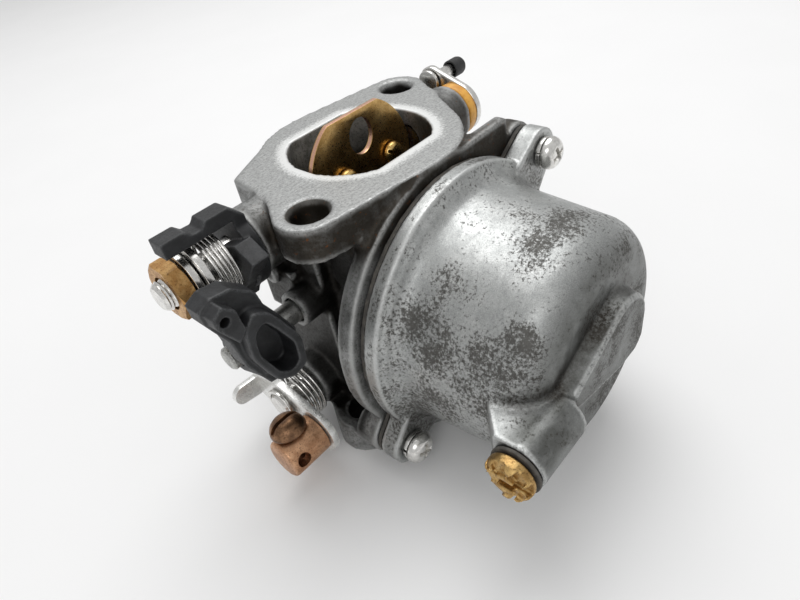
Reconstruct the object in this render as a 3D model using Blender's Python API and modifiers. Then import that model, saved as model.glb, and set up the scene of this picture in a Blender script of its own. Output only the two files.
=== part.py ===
"""Float-bowl carburetor: cast body, float bowl, choke and throttle valves with their levers.

The carburetor lies on its engine flange, with the bore upright (+Z), the float bowl pointing
along -Y and both valve shafts along X. Dimensions are in millimetres and the helpers turn them
into metres. Everything is drawn in the bore frame, whose origin is the centre of the engine
flange face, and one empty then sets the bore frame beside the world origin.
"""

import math

import bmesh
import bpy
from mathutils import Matrix, Vector

MM = 0.001

# Where the bore axis stands, so that the whole carburetor is centred on the world origin.
BORE_X = 2.6
BORE_Y = 15.2

# Body and flanges.
BODY_HEIGHT = 60.0
INLET_FLANGE = 7.0
ENGINE_FLANGE = 8.0
FLANGE_RADIUS = 21.5
STUD_X = 24.7
STUD_Y = 11.8
STUD_EAR = 6.6
STUD_HOLE = 3.5
BARREL_RADIUS = 18.5
INLET_RADIUS = 15.0
INLET_FLAT = 13.0
THROTTLE_RADIUS = 13.0
VENTURI_RADIUS = 10.5

# Valve shafts, both along X.
SHAFT_RADIUS = 3.0
CHOKE_Y = 0.7
CHOKE_Z = 53.0
THROTTLE_Y = 1.0
THROTTLE_Z = 12.0
PLATE_THICKNESS = 1.2

# Float bowl, its axis along Y.
BOWL_Z = 28.3
COVER_TOP = -17.6
COVER_BAR_TOP = -18.8
COVER_FACE = -21.6
BOWL_TOP = -23.0
BOWL_FLANGE_FACE = -26.2
EAR_FACE = -27.4
BOWL_END = -55.4
BOWL_RADIUS = 25.5
BOWL_END_RADIUS = 24.4
BOWL_FILLET = 7.6
BOWL_WALL = 2.2
COVER_RADIUS = 31.5
FACE_STEP = 0.8
BOWL_FLANGE_RADIUS = 29.8
EAR_RADIUS = 4.9
PAD_FACE = -58.8
SCREW_SPOTS = ((25.5, 51.2), (-25.8, 7.7))
DRAIN_Y = -56.6
DRAIN_END_X = -29.6
DRAIN_RADIUS = 4.8

# Fast idle cam lever, on a pin along X.
CAM_Y = -4.3
CAM_Z = 37.0
CAM_PIN_RADIUS = 2.4

# Idle speed screw, over the throttle stop lever.
STOP_X = 29.6
STOP_Y = 3.6
STOP_TIP_Z = 21.4
STOP_TIP_RADIUS = 2.2

# Cable clamp on the throttle lever; the lean is that of its screw from the vertical.
CLAMP_Y = -9.5
CLAMP_Z = 10.0
CLAMP_LEAN = 12.0

# Float and needle.
FLOAT_PIN_Y = -28.2
FLOAT_PIN_Z = 46.5
NEEDLE_Z = 39.5

# Clearance that separate pieces keep from each other.
GAP = 0.3


def clear_scene():
    for obj in list(bpy.data.objects):
        bpy.data.objects.remove(obj, do_unlink=True)


def new_collection(name):
    collection = bpy.data.collections.new(name)
    bpy.context.scene.collection.children.link(collection)
    return collection


clear_scene()
PARTS = new_collection("carburetor")
CUTTERS = new_collection("cutters")
FRAME = bpy.data.objects.new("bore_frame", None)
FRAME.location = (BORE_X * MM, BORE_Y * MM, 0.0)
PARTS.objects.link(FRAME)


# ---------------------------------------------------------------- materials

def material(name, colour, roughness, metallic):
    made = bpy.data.materials.new(name)
    made.use_nodes = True
    shader = made.node_tree.nodes["Principled BSDF"]
    shader.inputs["Base Color"].default_value = (*colour, 1.0)
    shader.inputs["Roughness"].default_value = roughness
    shader.inputs["Metallic"].default_value = metallic
    made.diffuse_color = (*colour, 1.0)
    return made


CAST = material("die_cast_aluminium", (0.42, 0.44, 0.45), 0.45, 0.9)
STEEL = material("plated_steel", (0.72, 0.72, 0.70), 0.25, 1.0)
BRASS = material("brass", (0.55, 0.36, 0.14), 0.35, 1.0)
COPPER = material("copper_plate", (0.48, 0.24, 0.14), 0.45, 1.0)
NUT = material("tarnished_nut", (0.48, 0.30, 0.13), 0.45, 0.8)
BLACK = material("black_plastic", (0.02, 0.02, 0.022), 0.55, 0.0)
AMBER = material("amber_nylon", (0.75, 0.36, 0.06), 0.4, 0.0)
RUBBER = material("black_rubber", (0.015, 0.015, 0.015), 0.7, 0.0)
FIBRE = material("gasket_fibre", (0.10, 0.09, 0.08), 0.8, 0.0)


# ---------------------------------------------------------------- helpers

def place(obj, axis_empty=None):
    """Hang an object, drawn in the bore frame, on the frame or on a joint's empty."""
    parent = axis_empty or FRAME
    obj.parent = parent
    if axis_empty is not None:
        obj.matrix_parent_inverse = Matrix.Translation(-axis_empty.location)
    return obj


def new_object(name, data):
    obj = bpy.data.objects.new(name, data)
    PARTS.objects.link(obj)
    return place(obj)


def axis_empty(name, point):
    """An empty on a joint's axis, which carries the pieces that move with it."""
    empty = bpy.data.objects.new(name, None)
    empty.location = Vector(point) * MM
    PARTS.objects.link(empty)
    empty.parent = FRAME
    return empty


def turn_to(direction):
    return Vector((0, 0, 1)).rotation_difference(Vector(direction).normalized())


def cylinder(name, radius, start, end, sides=24):
    """A rod from one point to another."""
    start, end = Vector(start), Vector(end)
    length = (end - start).length
    mesh = bpy.data.meshes.new(name)
    bm = bmesh.new()
    bmesh.ops.create_cone(bm, cap_ends=True, segments=sides, radius1=radius * MM,
                          radius2=radius * MM, depth=length * MM)
    bmesh.ops.translate(bm, verts=bm.verts, vec=(0, 0, length * MM / 2))
    bm.to_mesh(mesh)
    bm.free()
    obj = new_object(name, mesh)
    obj.rotation_mode = "QUATERNION"
    obj.rotation_quaternion = turn_to(end - start)
    obj.location = start * MM
    return obj


def rod_x(name, radius, x0, x1, y, z, sides=24):
    return cylinder(name, radius, (x0, y, z), (x1, y, z), sides)


def box(name, low, high):
    mesh = bpy.data.meshes.new(name)
    bm = bmesh.new()
    bmesh.ops.create_cube(bm, size=1.0)
    size = Vector(high) - Vector(low)
    bmesh.ops.scale(bm, vec=size * MM, verts=bm.verts)
    bm.to_mesh(mesh)
    bm.free()
    obj = new_object(name, mesh)
    obj.location = (Vector(high) + Vector(low)) / 2 * MM
    return obj


def turned(name, profile, origin=(0, 0, 0), direction=(0, 0, 1), sides=24, closed=False):
    """A turned shape: (radius, height) pairs that run down the outer side, about an axis."""
    mesh = bpy.data.meshes.new(name)
    points = [(radius * MM, 0.0, height * MM) for radius, height in profile]
    edges = [(i, i + 1) for i in range(len(points) - 1)]
    if closed:
        edges.append((len(points) - 1, 0))
    mesh.from_pydata(points, edges, [])
    obj = new_object(name, mesh)
    screw = obj.modifiers.new("turn", "SCREW")
    screw.axis = "Z"
    screw.steps = sides
    screw.render_steps = sides
    screw.use_merge_vertices = True
    screw.merge_threshold = 0.00001
    screw.use_smooth_shade = True
    obj.rotation_mode = "QUATERNION"
    obj.rotation_quaternion = turn_to(direction)
    obj.location = Vector(origin) * MM
    return obj


def washer(name, outer, inner, start, end, sides=24):
    """A flat ring from one point on its axis to another."""
    start, end = Vector(start), Vector(end)
    length = (end - start).length
    profile = [(inner, length), (outer, length), (outer, 0), (inner, 0)]
    return turned(name, profile, start, end - start, sides, closed=True)


def disc_points(discs, sides):
    points = []
    for u, v, radius in discs:
        for step in range(sides):
            angle = 2 * math.pi * step / sides
            points.append((u + radius * math.cos(angle), v + radius * math.sin(angle)))
    return points


def turn_between(a, b, c):
    return (b[0] - a[0]) * (c[1] - a[1]) - (b[1] - a[1]) * (c[0] - a[0])


def convex_hull(points):
    """The convex outline round a set of points, with no three of them in line."""

    def half(run):
        chain = []
        for point in run:
            while len(chain) > 1 and turn_between(chain[-2], chain[-1], point) <= 1e-6:
                chain.pop()
            chain.append(point)
        return chain[:-1]

    ordered = sorted((round(u, 5), round(v, 5)) for u, v in points)
    return half(ordered) + half(ordered[::-1])


def hull_outline(discs, sides=28):
    """The convex outline round a set of (u, v, radius) discs."""
    return convex_hull(disc_points(discs, sides))


PLANES = {
    "XY": Matrix.Identity(3),
    "XZ": Matrix(((1, 0, 0), (0, 0, -1), (0, 1, 0))),
    "YZ": Matrix(((0, 0, 1), (1, 0, 0), (0, 1, 0))),
}


def flat_plate(name, outline, plane, low, high):
    """A flat outline in the XY, XZ or YZ plane, thickened from low to high across it."""
    curve = bpy.data.curves.new(name, "CURVE")
    curve.dimensions = "2D"
    curve.fill_mode = "BOTH"
    curve.extrude = (high - low) / 2 * MM
    spline = curve.splines.new("POLY")
    spline.points.add(len(outline) - 1)
    for point, (u, v) in zip(spline.points, outline):
        point.co = (u * MM, v * MM, 0.0, 1.0)
    spline.use_cyclic_u = True
    turn = PLANES[plane]
    middle = (high + low) / 2
    if plane == "XZ":
        middle = -middle
    sketch = bpy.data.objects.new(name, curve)
    PARTS.objects.link(sketch)
    sketch.matrix_world = turn.to_4x4() @ Matrix.Translation((0, 0, middle * MM))
    return curve_to_mesh(sketch)


def curve_to_mesh(sketch):
    """Turn a curve object into a welded mesh object in the same place."""
    bpy.context.view_layer.update()
    graph = bpy.context.evaluated_depsgraph_get()
    mesh = bpy.data.meshes.new_from_object(sketch.evaluated_get(graph))
    bm = bmesh.new()
    bm.from_mesh(mesh)
    bmesh.ops.remove_doubles(bm, verts=bm.verts, dist=0.00001)
    bmesh.ops.recalc_face_normals(bm, faces=bm.faces)
    bm.to_mesh(mesh)
    bm.free()
    name = sketch.name
    matrix = sketch.matrix_world.copy()
    bpy.data.objects.remove(sketch, do_unlink=True)
    obj = new_object(name, mesh)
    mesh.name = name
    obj.matrix_local = matrix
    return obj


def wire(name, points, radius):
    """A round wire along a list of points."""
    curve = bpy.data.curves.new(name, "CURVE")
    curve.dimensions = "3D"
    curve.bevel_depth = radius * MM
    curve.bevel_resolution = 1
    curve.use_fill_caps = True
    spline = curve.splines.new("POLY")
    spline.points.add(len(points) - 1)
    for point, co in zip(spline.points, points):
        point.co = (co[0] * MM, co[1] * MM, co[2] * MM, 1.0)
    return new_object(name, curve)


def coil_points(start, end, radius, turns, per_turn=12, phase=0.0):
    """Points along a helix round the line from start to end."""
    start, end = Vector(start), Vector(end)
    turn = turn_to(end - start)
    count = int(turns * per_turn)
    points = []
    for step in range(count + 1):
        angle = phase + 2 * math.pi * step / per_turn
        offset = turn @ Vector((radius * math.cos(angle), radius * math.sin(angle), 0))
        points.append(start.lerp(end, step / count) + offset)
    return points


def as_tool(obj):
    """Put an object among the cutters, where it is only a Boolean's operand."""
    for collection in list(obj.users_collection):
        collection.objects.unlink(obj)
    CUTTERS.objects.link(obj)
    obj.hide_render = True
    obj.display_type = "WIRE"
    return obj


def combine(obj, operation, others):
    for other in others:
        as_tool(other)
        boolean = obj.modifiers.new(operation.lower() + "_" + other.name, "BOOLEAN")
        boolean.operation = operation
        boolean.solver = "EXACT"
        boolean.object = other
    return obj


def join(obj, *others):
    return combine(obj, "UNION", others)


def cut(obj, *others):
    return combine(obj, "DIFFERENCE", others)


def finish(obj, finish_material, carrier=None):
    """Give a piece its material, round shading and the empty that carries it."""
    data = obj.data
    data.materials.clear()
    data.materials.append(finish_material)
    if isinstance(data, bpy.types.Mesh):
        data.shade_smooth()
        data.set_sharp_from_angle(angle=math.radians(35))
    if carrier is not None:
        place(obj, carrier)
    return obj


def arc(centre, radius, start_degrees, end_degrees, steps):
    """Points on an arc, both ends included."""
    points = []
    for step in range(steps + 1):
        angle = math.radians(start_degrees + (end_degrees - start_degrees) * step / steps)
        points.append((centre[0] + radius * math.cos(angle), centre[1] + radius * math.sin(angle)))
    return points


def truncated_disc(radius, flat, steps=10):
    """A disc outline with two flats, across the second direction."""
    corner = math.degrees(math.asin(flat / radius))
    right = arc((0, 0), radius, -corner, corner, steps)
    left = arc((0, 0), radius, 180 - corner, 180 + corner, steps)
    return right + left


def pan_head(name, radius, height, start, direction, shank_radius, shank_length, sides=20):
    """A pan-head screw: start is under the head, direction points from tip to head."""
    profile = [(0, height)]
    profile += [(radius * 0.55, height * 0.94), (radius * 0.85, height * 0.7), (radius, height * 0.3)]
    profile += [(radius, 0), (shank_radius, 0), (shank_radius, -shank_length), (0, -shank_length)]
    return turned(name, profile, start, direction, sides)


# ---------------------------------------------------------------- cast body

def flange_outline():
    ears = [(STUD_X, STUD_Y, STUD_EAR), (-STUD_X, -STUD_Y, STUD_EAR)]
    return hull_outline([(0, 0, FLANGE_RADIUS)] + ears)


def joint_disc(radius, sides=34):
    """The bowl joint's round outline, cut level with both flange faces."""
    low, high = FACE_STEP, BODY_HEIGHT - FACE_STEP
    rim = disc_points([(0, BOWL_Z, radius)], sides)
    return convex_hull((u, max(low, min(high, v))) for u, v in rim)


def ear_outline(spot, radius):
    """A bowl screw's ear, which runs in to the bowl wall."""
    x, z = spot
    inner = (x * 0.7, BOWL_Z + (z - BOWL_Z) * 0.7, radius * 1.35)
    return hull_outline([(x, z, radius), inner], 18)


def joint_plate(name, radius, ear, low, high, ear_low=None):
    """A plate of the bowl joint: the round part and the two screw ears."""
    plate = flat_plate(name, joint_disc(radius), "XZ", low, high)
    bottom = low if ear_low is None else ear_low
    ears = [flat_plate(f"{name}_ear_{index}", ear_outline(spot, ear), "XZ", bottom, high)
            for index, spot in enumerate(SCREW_SPOTS)]
    return join(plate, *ears)


def bore_cutter():
    """The air passage: throttle bore, venturi and the wider flat-sided choke mouth."""
    throat = [(0, 42.0), (12.9, 42.0), (VENTURI_RADIUS, 33.0), (VENTURI_RADIUS, 27.0)]
    throat += [(THROTTLE_RADIUS, 20.0), (THROTTLE_RADIUS, -1.0), (0, -1.0)]
    bore = turned("bore_throat", throat, sides=32)
    mouth_outline = truncated_disc(INLET_RADIUS, INLET_FLAT)
    mouth = flat_plate("bore_mouth", mouth_outline, "XY", 40.0, BODY_HEIGHT + 1)
    return join(bore, mouth)


def body_holes():
    """Every drilled hole of the body."""
    holes = []
    for sign in (1, -1):
        x, y = sign * STUD_X, sign * STUD_Y
        top = (x, y, BODY_HEIGHT + 1)
        holes.append(cylinder(f"stud_hole_{sign}", STUD_HOLE, (x, y, -1), top, 20))
    holes.append(rod_x("choke_hole", SHAFT_RADIUS + GAP, -33, 32, CHOKE_Y, CHOKE_Z, 20))
    holes.append(rod_x("throttle_hole", SHAFT_RADIUS + GAP, -31, 30, THROTTLE_Y, THROTTLE_Z, 20))
    for index, (x, z) in enumerate(SCREW_SPOTS):
        mouth = (x, COVER_FACE - 1, z)
        holes.append(cylinder(f"bowl_screw_hole_{index}", 2.3, mouth, (x, -16.8, z), 16))
    holes.append(rod_x("cam_pin_hole", CAM_PIN_RADIUS + GAP, -31, -21.5, CAM_Y, CAM_Z, 16))
    holes.append(cylinder("nozzle_hole", 2.8, (0, -42, BOWL_Z), (0, -8, BOWL_Z), 16))
    holes.append(cylinder("seat_hole", 3.5, (0, -26, NEEDLE_Z), (0, -18.0, NEEDLE_Z), 16))
    holes.append(cylinder("pilot_hole", 1.9, (12, -30, BOWL_Z), (12, -19, BOWL_Z), 16))
    holes.append(rod_x("float_pin_hole", 1.1, -9, 9, FLOAT_PIN_Y, FLOAT_PIN_Z, 12))
    holes.append(cylinder("mixture_hole", 1.9, (9, 12, 9), (9, 24, 9), 16))
    stop_end = (STOP_X, STOP_Y, 36)
    holes.append(cylinder("stop_screw_hole", 2.3, (STOP_X, STOP_Y, 20), stop_end, 16))
    holes.append(rod_x("fuel_hole", 3.0, 20, 29, -12, 20, 16))
    return holes


def flange_pieces():
    """Both flanges with the inlet's side lug, and the barrel that joins them."""
    lug_discs = [(0, 0, 14), (-14.0, 14.6, 2.0), (-23.0, 10.9, 1.2), (-24.2, 1.4, 1.2)]
    lug_low, lug_high = BODY_HEIGHT - 9.5, BODY_HEIGHT - 0.05
    return [
        flat_plate("engine_flange", flange_outline(), "XY", 0, ENGINE_FLANGE),
        flat_plate("inlet_lug", hull_outline(lug_discs, 24), "XY", lug_low, lug_high),
        cylinder("barrel", BARREL_RADIUS, (0, 0, 1), (0, 0, BODY_HEIGHT - 1), 32),
        rod_x("choke_boss", 6.7, -31.6, 30, CHOKE_Y, CHOKE_Z, 22),
        rod_x("throttle_boss", 6.3, -29, 28.3, THROTTLE_Y, THROTTLE_Z, 22),
    ]


def side_pieces():
    """The walls, bosses and lugs between the flanges."""
    arm_low, arm_high = STOP_Y - 4, STOP_Y + 3.4
    return [
        box("middle_block", (-15, COVER_TOP - 2, 5), (16, -4, 55)),
        box("side_web", (-20.8, COVER_TOP - 2, 6.5), (-10, -2.5, 54.5)),
        box("side_wall", (-24, -7.8, 5.5), (-13, 9.6, 52)),
        rod_x("cam_pin_boss", 3.9, -29.5, -16, CAM_Y, CAM_Z, 18),
        cylinder("mixture_boss", 4.0, (9, 10, 9), (9, 22.5, 9), 18),
        box("stop_screw_arm", (12, arm_low, 24.5), (STOP_X + 4, arm_high, 32)),
        rod_x("fuel_boss", 5.0, 10, 27, -12, 20, 18),
        box("cast_lug", (-26.5, -2.4, 32), (-12, 8.4, 43)),
        rod_x("cast_stub", 2.3, -28.2, -20, 3.0, 42.3, 14),
    ]


def cover_pieces():
    """The bowl cover, with the jet tower and the float's hinge posts under it."""
    bar_top = BODY_HEIGHT - FACE_STEP + 0.2
    pieces = [
        joint_plate("bowl_cover", COVER_RADIUS, EAR_RADIUS + 0.2, COVER_FACE, COVER_TOP),
        box("cover_bar", (-1.5, COVER_FACE, 40), (21.5, COVER_BAR_TOP, bar_top)),
        cylinder("jet_tower", 6.0, (0, COVER_TOP, BOWL_Z), (0, -40, BOWL_Z), 20),
        cylinder("seat_boss", 5.2, (0, COVER_TOP, NEEDLE_Z), (0, -24.6, NEEDLE_Z), 18),
        cylinder("pilot_boss", 3.6, (12, COVER_TOP, BOWL_Z), (12, -29, BOWL_Z), 14),
        box("hinge_post_left", (-8, -30.2, 44.4), (-5, COVER_TOP, 48.6)),
        box("hinge_post_right", (5, -30.2, 44.4), (8, COVER_TOP, 48.6)),
    ]
    for index, (x, z) in enumerate(SCREW_SPOTS):
        pieces.append(cylinder(f"screw_boss_{index}", 4.9, (x, -20, z), (x, -15.5, z), 18))
    return pieces


def make_body():
    low = BODY_HEIGHT - INLET_FLANGE
    body = flat_plate("main_body", flange_outline(), "XY", low, BODY_HEIGHT)
    join(body, *flange_pieces(), *side_pieces(), *cover_pieces())
    cut(body, bore_cutter(), *body_holes())
    return finish(body, CAST)


# ---------------------------------------------------------------- float bowl

def bowl_profile(wall, top):
    """The outer (wall 0) or inner outline of the bowl, from its top edge down to its centre."""
    fillet = BOWL_FILLET - wall
    end = BOWL_END + wall
    centre = (BOWL_END_RADIUS - BOWL_FILLET, BOWL_END + BOWL_FILLET)
    return [(BOWL_RADIUS - wall, top)] + arc(centre, fillet, 0, -90, 5) + [(0, end)]


def make_bowl():
    outer = [(0, BOWL_TOP)] + bowl_profile(0, BOWL_TOP)
    bowl = turned("float_bowl", outer, (0, 0, BOWL_Z), (0, 1, 0), 36)
    flange = joint_plate("bowl_flange", BOWL_FLANGE_RADIUS, EAR_RADIUS, BOWL_FLANGE_FACE,
                         BOWL_TOP - 0.02, EAR_FACE)
    pad_discs = [(2.2, 32.6, 7.6), (6.2, 28.6, 3.8), (-13.5, 31.0, 2.2)]
    pad = flat_plate("bowl_pad", hull_outline(pad_discs, 24), "XZ", PAD_FACE, -50)
    boss = rod_x("drain_boss", DRAIN_RADIUS, DRAIN_END_X, -16.2, DRAIN_Y, BOWL_Z, 20)
    web_outline = [(DRAIN_END_X, DRAIN_Y), (-8, DRAIN_Y), (-8, -46), (-23, -46),
                   (DRAIN_END_X, -52)]
    reach = DRAIN_RADIUS - 0.1
    web = flat_plate("drain_web", web_outline, "XY", BOWL_Z - reach, BOWL_Z + reach)
    join(bowl, flange, pad, boss, web)
    inner = [(0, BOWL_TOP + 1)] + bowl_profile(BOWL_WALL, BOWL_TOP + 1)
    cavity = turned("bowl_cavity", inner, (0, 0, BOWL_Z), (0, 1, 0), 30)
    holes = [rod_x("drain_hole", 3.15, DRAIN_END_X - 1, -17.6, DRAIN_Y, BOWL_Z, 18)]
    for index, (x, z) in enumerate(SCREW_SPOTS):
        holes.append(cylinder(f"bowl_ear_hole_{index}", 2.3, (x, -29, z), (x, -22, z), 14))
    cut(bowl, cavity, *holes)
    return finish(bowl, CAST)


def make_gasket():
    gasket = joint_plate("bowl_gasket", BOWL_FLANGE_RADIUS - 0.4, EAR_RADIUS - 0.3,
                         BOWL_TOP + GAP, COVER_FACE - GAP)
    cutters = [cylinder("gasket_bore", 23.6, (0, -24, BOWL_Z), (0, -20, BOWL_Z), 30)]
    for index, (x, z) in enumerate(SCREW_SPOTS):
        cutters.append(cylinder(f"gasket_hole_{index}", 2.3, (x, -24, z), (x, -20, z), 14))
    cut(gasket, *cutters)
    return finish(gasket, FIBRE)


def cross_recess(name, spot, low, high, half_width=0.45, reach=1.9):
    """Two crossed bars that cut a cross recess in a head that faces -Y."""
    x, z = spot
    first = box(name + "_bar_x", (x - reach, low, z - half_width), (x + reach, high, z + half_width))
    second = box(name + "_bar_z", (x - half_width, low, z - reach), (x + half_width, high, z + reach))
    return first, second


def make_bowl_screws():
    for name, (x, z) in zip(("front", "rear"), SCREW_SPOTS):
        under_head = EAR_FACE - 2 * GAP - 0.9
        seat = (x, under_head, z)
        screw = pan_head(f"bowl_screw_{name}", 3.5, 2.5, seat, (0, -1, 0), 1.9, 10.5)
        cut(screw, *cross_recess(f"recess_{name}", (x, z), under_head - 3.0, under_head - 1.0))
        finish(screw, STEEL)
        start = (x, EAR_FACE - GAP, z)
        end = (x, EAR_FACE - GAP - 0.9, z)
        lock = washer(f"bowl_lock_washer_{name}", 3.3, 2.25, start, end, 24)
        gap_low, gap_high = (x - 4, EAR_FACE - 2, z - 0.3), (x - 1, EAR_FACE, z + 0.3)
        cut(lock, box(f"lock_gap_{name}", gap_low, gap_high))
        finish(lock, STEEL)


def make_drain_plug():
    x = DRAIN_END_X - GAP
    thickness = 0.6
    start, end = (x, DRAIN_Y, BOWL_Z), (x - thickness, DRAIN_Y, BOWL_Z)
    seal = washer("drain_washer", 4.7, 3.2, start, end, 24)
    finish(seal, FIBRE)
    under = x - thickness - GAP
    seat = (under, DRAIN_Y, BOWL_Z)
    plug = pan_head("drain_screw", 4.4, 2.8, seat, (-1, 0, 0), 2.8, 11.0, 24)
    slot_low = (under - 5, DRAIN_Y - 6, BOWL_Z - 0.7)
    slot_high = (under - 1.3, DRAIN_Y + 6, BOWL_Z + 0.7)
    cut(plug, box("drain_slot", slot_low, slot_high))
    finish(plug, BRASS)


# ---------------------------------------------------------------- valves

def valve_plate(name, outline, y, z, carrier, screw_xs, hole):
    """A valve disc in the XZ plane through its shaft's axis, with screw holes across it."""
    half = PLATE_THICKNESS / 2
    moved = [(u, v + z) for u, v in outline]
    plate = flat_plate(name, moved, "XZ", y - half, y + half)
    holes = [cylinder(f"{name}_hole_{x}", 1.8, (x, y - 3, z), (x, y + 3, z), 14)
             for x in screw_xs]
    cut(plate, hole, *holes)
    return finish(plate, BRASS, carrier)


def valve_shaft(name, x0, x1, y, z, flat_reach, screw_xs, carrier):
    """A round shaft with a flat over the bore, where the valve disc is screwed on."""
    shaft = rod_x(name, SHAFT_RADIUS, x0, x1, y, z, 24)
    flat_y = y + PLATE_THICKNESS / 2 + GAP
    seat = box(name + "_flat", (-flat_reach, y - 4, z - 4), (flat_reach, flat_y, z + 4))
    holes = [cylinder(f"{name}_hole_{x}", 1.6, (x, y - 4, z), (x, y + 4, z), 14)
             for x in screw_xs]
    cut(shaft, seat, *holes)
    return finish(shaft, STEEL, carrier)


def plate_screws(name, y, z, screw_xs, carrier):
    """Round-head screws that hold a valve disc, their heads facing -Y."""
    under_head = y - PLATE_THICKNESS / 2 - GAP
    for index, x in enumerate(screw_xs, 1):
        seat = (x, under_head, z)
        screw = pan_head(f"{name}_{index}", 2.6, 1.7, seat, (0, -1, 0), 1.3, 3.6, 20)
        slot = box(f"{name}_slot_{index}", (x - 3, under_head - 2.2, z - 0.35),
                   (x + 3, under_head - 0.9, z + 0.35))
        cut(screw, slot)
        finish(screw, BRASS, carrier)


def make_choke():
    axis = axis_empty("choke_axis", (0, CHOKE_Y, CHOKE_Z))
    screw_xs = (-5.5, 8.5)
    flat_reach = INLET_RADIUS + 0.2
    valve_shaft("choke_shaft", -50.6, 36.6, CHOKE_Y, CHOKE_Z, flat_reach, screw_xs, axis)
    oval = turned("choke_plate_oval", [(0, 3), (3.9, 3), (3.9, -3), (0, -3)],
                  (0.9, CHOKE_Y, CHOKE_Z + 7.2), (0, 1, 0), 24)
    oval.scale = (0.85, 1.0, 1.0)
    outline = truncated_disc(INLET_RADIUS - 0.5, INLET_FLAT - 0.4)
    valve_plate("choke_plate", outline, CHOKE_Y, CHOKE_Z, axis, screw_xs, oval)
    plate_screws("choke_plate_screw", CHOKE_Y, CHOKE_Z, screw_xs, axis)
    make_choke_lever(axis)
    make_choke_end(axis)


def make_choke_lever(axis):
    """Black plastic lever on the choke shaft's near end, with its spring, washers and nut."""
    y, z = CHOKE_Y, CHOKE_Z
    lever = rod_x("choke_lever", 7.6, -34.6, -32.0, y, z, 32)
    bar_outline = [(-47.8, z + 7.9), (-47.8, z + 10.8), (-43.4, z + 10.8), (-42.2, z + 9.6),
                   (-40.4, z + 9.5), (-39.4, z + 10.6), (-34.6, z + 10.6), (-32.0, z + 8.0),
                   (-32.0, z + 4.0), (-34.6, z + 4.0), (-34.6, z + 7.9)]
    bar = flat_plate("choke_lever_bar", bar_outline, "XZ", y - 4.3, y - 0.3)
    arm_outline = [(y - 10.8, z + 2.4), (y - 6.4, z + 5.0), (y + 3, z + 1.5), (y + 4.4, z - 6.4),
                   (y - 2.4, z - 9.0), (y - 5.0, z - 4.6)]
    arm = flat_plate("choke_lever_arm", arm_outline, "YZ", -37.2, -33.5)
    join(lever, bar, arm)
    cut(lever, rod_x("choke_lever_bore", SHAFT_RADIUS + GAP, -40, -30, y, z, 24))
    finish(lever, BLACK, axis)
    coil = coil_points((-42.0, y, z), (-37.95, y, z), 6.9, 5, 9)
    finish(wire("choke_spring", coil, 0.36), STEEL, axis)
    collar = washer("choke_collar", 7.3, SHAFT_RADIUS + GAP, (-42.6, y, z), (-44.0, y, z))
    finish(collar, STEEL, axis)
    lock = washer("choke_lock_washer", 5.9, SHAFT_RADIUS + GAP, (-44.3, y, z), (-45.5, y, z))
    cut(lock, box("choke_lock_gap", (-47, y - 0.4, z + 2), (-43, y + 0.4, z + 8)))
    finish(lock, STEEL, axis)
    nut = rod_x("choke_nut", 5.77, -45.8, -48.8, y, z, 6)
    cut(nut, rod_x("choke_nut_bore", SHAFT_RADIUS + GAP, -50, -44, y, z, 24))
    finish(nut, NUT, axis)


def make_choke_end(axis):
    """Bush, steel lever and link stud on the choke shaft's far end."""
    y, z = CHOKE_Y, CHOKE_Z
    bush = washer("choke_bush", 6.2, SHAFT_RADIUS + GAP, (30.3, y, z), (32.9, y, z))
    finish(bush, AMBER)
    stud_y, stud_z = y + 7.4, z + 5.6
    outline = hull_outline([(y, z, 6.0), (stud_y, stud_z, 3.3)], 32)
    lever = flat_plate("choke_end_lever", outline, "YZ", 33.2, 34.9)
    cut(lever, rod_x("end_lever_bore", SHAFT_RADIUS + GAP, 32, 37, y, z, 24),
        rod_x("end_lever_stud_hole", 1.9, 32, 37, stud_y, stud_z, 16))
    finish(lever, STEEL, axis)
    swivel = axis_empty("link_stud_axis", (35, stud_y, stud_z))
    profile = [(0, 11.2), (1.5, 11.2), (1.5, 3.3), (2.7, 3.3), (2.7, 2.6), (1.5, 2.6),
               (1.5, 0.6), (2.8, 0.6), (2.8, -0.3), (0, -0.3)]
    stud = turned("link_stud", profile, (32.3, stud_y, stud_z), (1, 0, 0), 20)
    finish(stud, STEEL, swivel)
    profile = [(0, 4.6), (1.6, 4.4), (2.2, 3.4), (2.2, 0), (1.8, 0), (1.8, 3.0), (0, 3.0)]
    cap = turned("link_stud_cap", profile, (40.8, stud_y, stud_z), (1, 0, 0), 20)
    finish(cap, RUBBER, swivel)


def make_throttle():
    axis = axis_empty("throttle_axis", (0, THROTTLE_Y, THROTTLE_Z))
    y, z = THROTTLE_Y, THROTTLE_Z
    screw_xs = (-5.0, 5.0)
    shaft = rod_x("throttle_shaft", SHAFT_RADIUS, -37.9, 32.0, y, z, 24)
    flat_z = z - PLATE_THICKNESS / 2 - GAP
    seat = box("throttle_shaft_flat", (-13.2, y - 4, flat_z), (13.2, y + 4, z + 4))
    holes = [cylinder(f"throttle_shaft_hole_{x}", 1.6, (x, y, z - 4), (x, y, z + 4), 14)
             for x in screw_xs]
    cut(shaft, seat, *holes)
    finish(shaft, STEEL, axis)
    make_throttle_plate(screw_xs, axis)
    make_throttle_lever(axis)
    make_cable_clamp()
    make_throttle_stop(axis)
    make_idle_speed_screw()


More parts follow.
